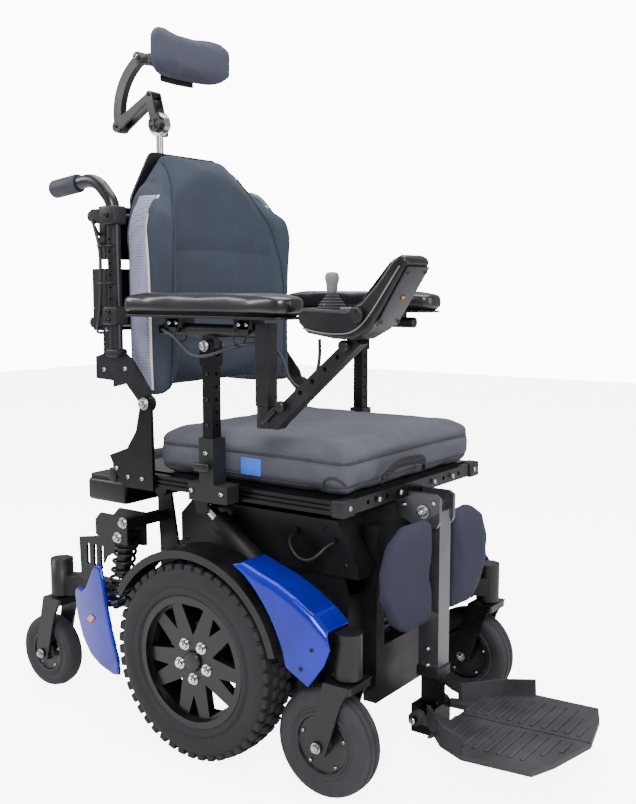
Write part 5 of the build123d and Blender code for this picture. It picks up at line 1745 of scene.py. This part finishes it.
@dataclass
class Arm:
    """One arm: vinyl pad, clamps, screws and the finish of its tube and post."""

    side: Side
    post_y: float
    x: float = 256.0

    def pad(self) -> None:
        """Models the glossy pad with its crown, seam and underside plate."""
        hand = self.side.hand
        x = self.side.sign * self.x
        outline = Bench.rounded(x - 36.5, x + 36.5, self.post_y - 186, self.post_y + 190, 26, 782)
        form = Bench.plate(f"arm_cushion_{hand}", outline, Vector((0, 0, 0.036)), 0.010, 5)
        Upholstery.puff(form, 0.0042, 0.006, 0.002)
        seam = Upholstery.laid_long(form, self.ring(787), x / 1000)
        Upholstery.groove(form, seam, 0.006, 0.0016)
        Bench.finish(form, f"arm_{hand}", VINYL, "pad_vinyl", f"arm_pad_{hand}")
        base = [Vector((p.x, p.y, 0.7792)) for p in outline]
        middle = sum(base, Vector()) / len(base)
        base = [middle + (p - middle) * 0.965 for p in base]
        board = Bench.plate(f"arm_board_{hand}", base, Vector((0, 0, 0.004)), 0.0008)
        Bench.finish(board, f"arm_{hand}", ABS_BLACK, "pad_vinyl")

    def ring(self, level: float) -> list[Vector]:
        """Points round the pad's sides at one level.

        Args:
            level: height above the floor in millimetres.

        Returns:
            Points a little outside the pad.
        """
        x = self.side.sign * self.x
        points = Bench.rounded(x - 46, x + 46, self.post_y - 186, self.post_y + 190, 34, level)
        return Upholstery.line(points + points[:1], 0.004)

    def build(self) -> None:
        """Models the pad and hardware and dresses the nodes."""
        hand, sign = self.side.hand, self.side.sign
        self.pad()
        Paints.dress_node(f"arm_tube_{hand}", POWDER_COAT)
        Paints.dress_node(f"arm_post_{hand}", ANODISED_RAIL)
        out = outward(sign)
        x = sign * self.x
        clamps = []
        for y in (self.post_y - 84, self.post_y + 72):
            for face in (-1, 1):
                points = [
                    mm(x + face * 16, y - 15, 778), mm(x + face * 16, y + 15, 778),
                    mm(x + face * 16, y + 10, 752), mm(x + face * 16, y - 10, 752)
                ]
                clamps.append(Bench.plate("clamp", points, Vector((-face * 0.004, 0, 0)), 0.0012))
        Bench.finish(Bench.join(f"pad_clamps_{hand}", clamps), f"arm_{hand}", DIE_CAST, "cast_black")
        spots = [
            (mm(x + sign * 16, y + dy, 770), out)
            for y in (self.post_y - 84, self.post_y + 72)
            for dy in (-8, 8)
        ]
        Screws(f"pad_clamp_screws_{hand}", f"arm_{hand}", "bright_steel", Head.SOCKET, 4.0, spots).build()
        knuckle = [(mm(x + face * 17, self.post_y, 732), Vector((face, 0, 0))) for face in (-1, 1)]
        Screws(f"knuckle_bolts_{hand}", f"arm_post_{hand}", "bright_steel", Head.HEX, 7.5, knuckle).build()
        stop = [(mm(x + sign * 11, self.post_y, z), out) for z in (596, 640, 684)]
        Screws(
            f"post_screws_{hand}", f"arm_post_{hand}", "bright_steel", Head.SOCKET, 3.6, stop, POWDER_COAT
        ).build()
        plug_y = self.post_y - 130
        plug = Bench.turned(
            f"tube_plug_{hand}", [(0, 0.0112), (0.003, 0.0108), (0.005, 0.007), (0.0055, 0)],
            mm(x, plug_y + 1.2, 758), Vector((0, -1, 0)), 32
        )
        Bench.finish(plug, f"arm_{hand}", ABS_BLACK, "frame_black")


@dataclass
class Joystick:
    """The hand control on its swing link, and its cable."""

    x: float = -256.0
    stick_y: float = -276.0
    gimbal_z: float = 804.0

    def module(self) -> None:
        """Models the swept housing, display panel, back plate and edge strip."""
        section = [
            (-231, 794, 30), (-232, 776, 31), (-250, 760, 32), (-300, 753, 33), (-336, 752, 33),
            (-366, 768, 33), (-392, 806, 32), (-412, 838, 33),
            (-430, 866, 34), (-428, 874, 34), (-418, 878, 34), (-404, 871, 34), (-376, 836, 33),
            (-350, 810, 33), (-324, 797, 33), (-280, 798, 33), (-240, 799, 32),
        ]
        outline = [mm(self.x - 34, y, z) for y, z, _ in section]
        body = Bench.plate("joystick_housing", outline, Vector((0.068, 0, 0)), 0.0)
        with editing():
            bpy.ops.mesh.bisect(plane_co=mm(self.x, 0, 0), plane_no=(1, 0, 0))
        for vertex in body.data.vertices:
            off = vertex.co.x * 1000 - self.x
            near = min(
                section, key=lambda s: (mm(0, s[0], s[1]) - Vector((0, vertex.co.y, vertex.co.z))).length
            )
            if abs(off) > 1:
                vertex.co.x = (self.x + math.copysign(near[2], off)) / 1000
        Bench.only(body)
        Bench.modify(body, "BEVEL", width=0.0055, segments=4, limit_method="ANGLE", angle_limit=SHARP_EDGE)
        Bench.finish(
            Bench.settle(body, "joystick_housing", 40.0), "joystick", ABS_BLACK, "cover_black",
            "joystick_module"
        )
        a, b = mm(self.x, -371, 769.5), mm(self.x, -431, 865)
        along = (b - a).normalized()
        out = Vector((0, -along.z, along.y)) if along.y < 0 else Vector((0, along.z, -along.y))
        across = Vector((1, 0, 0))
        corners = [
            a + along * 0.006 - across * 0.029, a + along * 0.006 + across * 0.029,
            b - along * 0.004 + across * 0.031, b - along * 0.004 - across * 0.031
        ]
        panel = Bench.plate("display_back", corners, out * 0.0028, 0.001)
        Bench.finish(panel, "joystick", DISPLAY_BACK, "cover_black")
        spots = [(corner.lerp((a + b) / 2, 0.16) + out * 0.0028, out) for corner in corners]
        Screws("display_screws", "joystick", "bright_steel", Head.SOCKET, 2.6, spots, POWDER_COAT).build()
        Screws(
            "display_centre_screw", "joystick", "bright_steel", Head.SOCKET, 4.2,
            [((a + b) / 2 + out * 0.0028, out)], BRASS
        ).build()
        c, d = mm(self.x, -345, 805.5), mm(self.x, -404, 872)
        face_along = (d - c).normalized()
        face_out = Vector((0, -face_along.z, face_along.y)) * (-1 if -face_along.z < 0 else 1)
        inner = [
            c + face_along * 0.010 - across * 0.027, c + face_along * 0.010 + across * 0.027,
            d - face_along * 0.006 + across * 0.027, d - face_along * 0.006 - across * 0.027
        ]
        glass = Bench.plate(
            "display_window", [p + face_out * 0.0006 for p in inner], face_out * 0.0018, 0.0006
        )
        Bench.finish(glass, "joystick", VINYL, "cover_black")
        strip = Bench.tube(
            "module_edge_strip",
            [
                mm(self.x - 34.3, y, z)
                for y, z in (
                    (-244, 768), (-270, 762), (-310, 760), (-340, 764), (-366, 788), (-398, 834),
                    (-418, 862)
                )
            ],
            0.0022
        )
        Bench.finish(strip, "joystick", KNOB, "cover_black")
        buttons = []
        for index, (y, z) in enumerate(((-308, 799), (-318, 800))):
            for off in (-18, -6, 6, 18):
                buttons.append(
                    Bench.turned(
                        "button", [(0, 0), (0, 0.0042), (0.0022, 0.0038), (0.0028, 0)],
                        mm(self.x + off, y - index * 4, z - 1), Vector((0, 0, 1)), 20
                    )
                )
        Bench.finish(Bench.join("module_buttons", buttons), "joystick", KNOB, "cover_black")

    def stick(self) -> None:
        """Models the bellows boot and the knob."""
        up = Vector((0, 0, 1))
        foot = mm(self.x, self.stick_y, 798)
        boot = [
            (0, 0), (0, 0.0235), (0.002, 0.024), (0.004, 0.0205), (0.006, 0.0215), (0.0085, 0.0175),
            (0.0105, 0.0185), (0.013, 0.0140), (0.015, 0.0150), (0.0175, 0.0105), (0.0195, 0.0112),
            (0.0225, 0.0072), (0.026, 0.0060), (0.026, 0)
        ]
        bellows = Bench.turned("joystick_boot", boot, foot, up, 48)
        Bench.finish(bellows, "stick", CASTER_RUBBER, "grip_rubber")
        knob = [
            (0, 0), (0, 0.0065), (0.004, 0.0085), (0.010, 0.0088), (0.015, 0.0098), (0.020, 0.0112),
            (0.025, 0.0112), (0.029, 0.0100), (0.0316, 0.0070), (0.0322, 0.0035), (0.0318, 0)
        ]
        top = Bench.turned("joystick_knob", knob, mm(self.x, self.stick_y, 822.5), up, 44)
        Bench.finish(top, "stick", KNOB, "grip_rubber", "joystick_stick")
        dial = [
            (0.0005, 0), (0.0005, 0.0120), (0.0025, 0.0122), (0.0060, 0.0116), (0.0078, 0.0098),
            (0.0082, 0.0)
        ]
        knob = Bench.turned("speed_knob", dial, mm(self.x - 34, -346, 790), Vector((-1, 0, 0)), 40)
        teeth = []
        for turn in range(18):
            angle = 2 * math.pi * turn / 18
            centre = mm(self.x - 37.5, -346 + 12.1 * math.cos(angle), 790 + 12.1 * math.sin(angle))
            rib = Bench.block(
                "rib", centre - Vector((0.0024, 0.0008, 0.0008)), centre + Vector((0.0024, 0.0008, 0.0008)),
                0.0003, 1
            )
            teeth.append(rib)
        pointer = Bench.block(
            "pointer", mm(self.x - 43, -347.2, 792), mm(self.x - 41.8, -344.8, 800), 0.0004, 2
        )
        Bench.finish(
            Bench.join("speed_knob", [knob, pointer, *teeth]), "speed_dial", ABS_BLACK, "grip_rubber",
            "speed_dial"
        )

    def link(self) -> None:
        """Models the clamp knobs on the perforated link."""
        knobs = []
        for y, z in ((-186, 640), (-310, 742)):
            for face in (-1, 1):
                profile = [
                    (0, 0), (0, 0.0085), (0.004, 0.0095), (0.0095, 0.0092), (0.0115, 0.0070), (0.0118, 0)
                ]
                knobs.append(
                    Bench.turned("knob", profile, mm(self.x + face * 11, y, z), Vector((face, 0, 0)), 14)
                )
        Bench.finish(Bench.join("link_knobs", knobs), "joystick", ABS_BLACK, "cover_black")
        lever = Bench.plate(
            "link_lever",
            [
                mm(self.x - 12, -176, 630), mm(self.x - 12, -150, 606), mm(self.x - 12, -144, 612),
                mm(self.x - 12, -170, 638)
            ],
            Vector((-0.005, 0, 0)), 0.0015
        )
        Bench.finish(lever, "joystick", POWDER_COAT, "frame_black")

    def cable(self) -> None:
        """Lays the control's cable along the arm tube, with its ties."""
        route = [
            (-236, -238, 749), (-236, -240, 714), (-236, -226, 680), (-235, -196, 664), (-233, -172, 684),
            (-232, -163, 716), (-233, -134, 736), (-248, -100, 738), (-274, -72, 728), (-281, -38, 715),
            (-281, -4, 715), (-277, 28, 736), (-272, 54, 752), (-271, 75.5, 758),
        ]
        cable = Bench.tube("control_cable", [mm(*point) for point in route], 0.006, as_mesh=False)
        Bench.finish(cable, "arm_right", CABLE, "cable_black", "joystick_cable")
        ties = []
        for y, z in ((-92, 749), (40, 752)):
            loop = [mm(along, y, up) for along, up in Bench.arc(self.x - 4, z, 17, 16, range(0, 360, 30))]
            ties.append(Bench.tube("tie", loop, 0.0026, ring=True))
        Bench.finish(Bench.join("cable_ties", ties), "arm_right", ABS_BLACK, "cable_black")

    def build(self) -> None:
        """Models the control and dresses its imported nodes."""
        for name, finish in (("joystick_link", POWDER_COAT), ("joystick_gimbal", ZINC)):
            Paints.dress_node(name, finish)
        self.module()
        self.stick()
        self.link()
        self.cable()


@dataclass
class LegRest:
    """The centre leg rest: tubes, calf pads and footplates."""

    hinge_y: float = -315.0
    hinge_z: float = 69.0

    def pads(self) -> None:
        """Models the two calf pads."""
        for side in Side:
            s = side.sign
            face = [
                (34, 242), (34, 436), (118, 436), (164, 410), (186, 362), (186, 316), (150, 262), (118, 242)
            ]
            box_low, box_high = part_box("calf_pads")
            outline = [Vector((s * x / 1000, box_low[1] + 0.003, z / 1000)) for x, z in face]
            depth = self.pad_depth()
            form = Bench.plate(f"calf_pad_{side.hand}", outline, Vector((0, depth - 0.006, 0)), 0.010, 3)
            Upholstery.puff(form, 0.0046, 0.009, 0.003)
            Bench.finish(
                form, "leg", CALF_CLOTH, "calf_fabric", *(("calf_pads",) if side is Side.LEFT else ())
            )
            middle = Vector((s * 0.110, 0, 0.339))
            ring = [Vector((s * x / 1000, 0, z / 1000)) for x, z in face]
            ring = [middle + (p - middle) * 0.97 + Vector((0, box_low[1] - 0.05, 0)) for p in ring]
            laid = Upholstery.laid(form, Upholstery.line(ring + ring[:1], 0.004), Vector((0, 1, 0)), 0.0004)
            if len(laid) > 12:
                Upholstery.groove(form, laid, 0.007, 0.0015)
                Bench.finish(
                    Bench.tube(f"calf_piping_{side.hand}", laid[::4], 0.003, ring=True), "leg", CALF_CLOTH,
                    "calf_fabric"
                )

    def pad_depth(self) -> float:
        """Depth of a pad's cushion, front to back, in metres."""
        low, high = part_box("calf_pads")
        return min(0.045, high[1] - low[1])

    def footplates(self) -> None:
        """Adds ribs and hinge screws to the two footplates."""
        for side in Side:
            s = side.sign
            hand = side.hand
            low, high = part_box(f"footplate_{hand}")
            ribs = []
            for index in range(11):
                y = -590 + index * 21
                reach = 118 if index > 1 else 60 + index * 26
                x0, x1 = sorted((s * 14, s * reach))
                ribs.append((x0, x1, y))
            bars = []
            for x0, x1, y in ribs:
                start = mm((x0 + x1) / 2, y, 200)
                met, place, _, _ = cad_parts[f"footplate_{hand}"].ray_cast(
                    start, Vector((0, 0, -1)), distance=0.3
                )
                if met:
                    bars.append(
                        Bench.block(
                            "rib", Vector((x0 / 1000, place.y - 0.0035, place.z - 0.002)),
                            Vector((x1 / 1000, place.y + 0.0035, place.z + 0.0022)), 0.0012, 2
                        )
                    )
            if bars:
                Bench.finish(
                    Bench.join(f"foot_ribs_{hand}", bars), f"footplate_{hand}", NYLON, "foot_plastic"
                )
            spots = [(mm(s * 63, self.hinge_y, self.hinge_z), outward(s))]
            Screws(
                f"foot_hinge_screw_{hand}", f"footplate_{hand}", "bright_steel", Head.BUTTON, 6.5, spots
            ).build()
            Paints.dress_node(f"footplate_{hand}", NYLON)

    def build(self) -> None:
        """Models the pads and hardware and dresses the tubes."""
        for name, finish in (("leg_tube", GRAPHITE), ("leg_slider", ANODISED_RAIL)):
            Paints.dress_node(name, finish)
        self.pads()
        self.footplates()
        spots = [(mm(sign * 31, -315, 440), outward(sign)) for sign in (-1, 1)]
        Screws("leg_pivot_bolts", "seat", "bright_steel", Head.HEX, 9.0, spots).build()
        spots = [
            (mm(sign * 29, y, z), outward(sign)) for sign in (-1, 1) for y, z in ((-276, 448), (-334, 456))
        ]
        Screws("leg_housing_screws", "seat", "bright_steel", Head.SOCKET, 4.4, spots).build()
        spots = [(mm(sign * 20, -322, z), outward(sign)) for sign in (-1, 1) for z in (160, 190)]
        Screws("leg_tube_screws", "leg", "bright_steel", Head.SOCKET, 4.4, spots).build()
        band = Bench.block("leg_tube_collar", mm(-23, -345, 137), mm(23, -299, 157), 0.003, 3)
        Bench.finish(band, "leg", DIE_CAST, "cast_black")


@dataclass
class Studio:
    """The pale floor, soft lights and camera."""

    camera_at: Point = (-1.5499, -1.1396, 0.8344)
    heading: float = 54.4
    dip: float = 6.6
    lens: float = 45.27

    def camera(self) -> None:
        """Adds the camera."""
        data = bpy.data.cameras.new("camera")
        data.lens = self.lens
        data.sensor_fit = "AUTO"
        data.sensor_width = 36.0
        lens = bpy.data.objects.new("camera", data)
        bpy.context.collection.objects.link(lens)
        yaw, pitch = math.radians(self.heading), math.radians(self.dip)
        look = Vector((math.sin(yaw) * math.cos(pitch), math.cos(yaw) * math.cos(pitch), -math.sin(pitch)))
        lens.location = self.camera_at
        lens.rotation_euler = look.to_track_quat("-Z", "Y").to_euler()
        bpy.context.scene.camera = lens

    def bright(
        self, tree: bpy.types.NodeTree, socket: bpy.types.NodeSocket, lighting: float, seen: float
    ) -> None:
        """Makes a white surround look brighter than the light that it sheds.

        Args:
            tree: the node tree.
            socket: the strength to set.
            lighting: its strength as a light.
            seen: its strength as a backdrop.
        """
        ray = add(tree, "ShaderNodeLightPath").outputs["Is Camera Ray"]
        level = add(tree, "ShaderNodeMapRange", {"To Min": lighting, "To Max": seen}, {"Value": ray})
        tree.links.new(level.outputs["Result"], socket)

    def light(self, name: str, at: Point, aim: Point, power: float, size: float) -> None:
        """Adds one soft square light.

        Args:
            name: its name.
            at: where it hangs.
            aim: the point it faces.
            power: watts.
            size: its edge in metres.
        """
        data = bpy.data.lights.new(name, "AREA")
        data.energy = power
        data.size = size
        lamp = bpy.data.objects.new(name, data)
        bpy.context.collection.objects.link(lamp)
        lamp.location = at
        lamp.rotation_euler = (Vector(aim) - Vector(at)).to_track_quat("-Z", "Y").to_euler()

    def build(self) -> None:
        """Adds the floor, lights, world and camera."""
        Bench.clear()
        bpy.ops.mesh.primitive_plane_add(size=14, location=(0, 0, 0))
        floor = bpy.context.object
        floor.name = "floor"
        finish = bpy.data.materials.new("pale_floor")
        finish.use_nodes = True
        shader = finish.node_tree.nodes["Principled BSDF"]
        shader.inputs["Base Color"].default_value = linear("f4f4f4")
        shader.inputs["Roughness"].default_value = 0.7
        self.bright(finish.node_tree, shader.inputs["Emission Strength"], 0.0, 6.5)
        shader.inputs["Emission Color"].default_value = linear("ffffff")
        floor.data.materials.append(finish)
        world = bpy.data.worlds.new("studio")
        bpy.context.scene.world = world
        world.use_nodes = True
        world.node_tree.nodes["Background"].inputs["Color"].default_value = linear("fbfbfd")
        self.bright(world.node_tree, world.node_tree.nodes["Background"].inputs["Strength"], 0.55, 12.0)
        self.light("key", (-2.4, -1.4, 2.4), (0, 0, 0.6), 125, 1.4)
        self.light("fill", (0.4, -3.0, 1.4), (0, 0, 0.5), 60, 2.0)
        self.light("rim", (-1.6, 2.6, 2.2), (0, 0, 0.8), 70, 1.4)
        self.light("top", (0.3, 0.2, 3.0), (0, 0, 0.6), 120, 2.4)
        self.camera()


def main() -> None:
    logging.basicConfig(level=logging.INFO, format="%(message)s")
    Studio().build()
    for side in Side:
        DriveWheel(side).build()
        Caster(side, "front", 250, -305 + 38, 92, 50, True).build()
        Caster(side, "rear", 205, 436 + 35, 75, 42, False).build()
        Suspension(side).build()
    Base().build()
    Seat().build()
    Back().build()
    Headrest().build()
    Arm(Side.LEFT, 5).build()
    Arm(Side.RIGHT, -25).build()
    Joystick().build()
    LegRest().build()


if __name__ == "__main__":
    main()
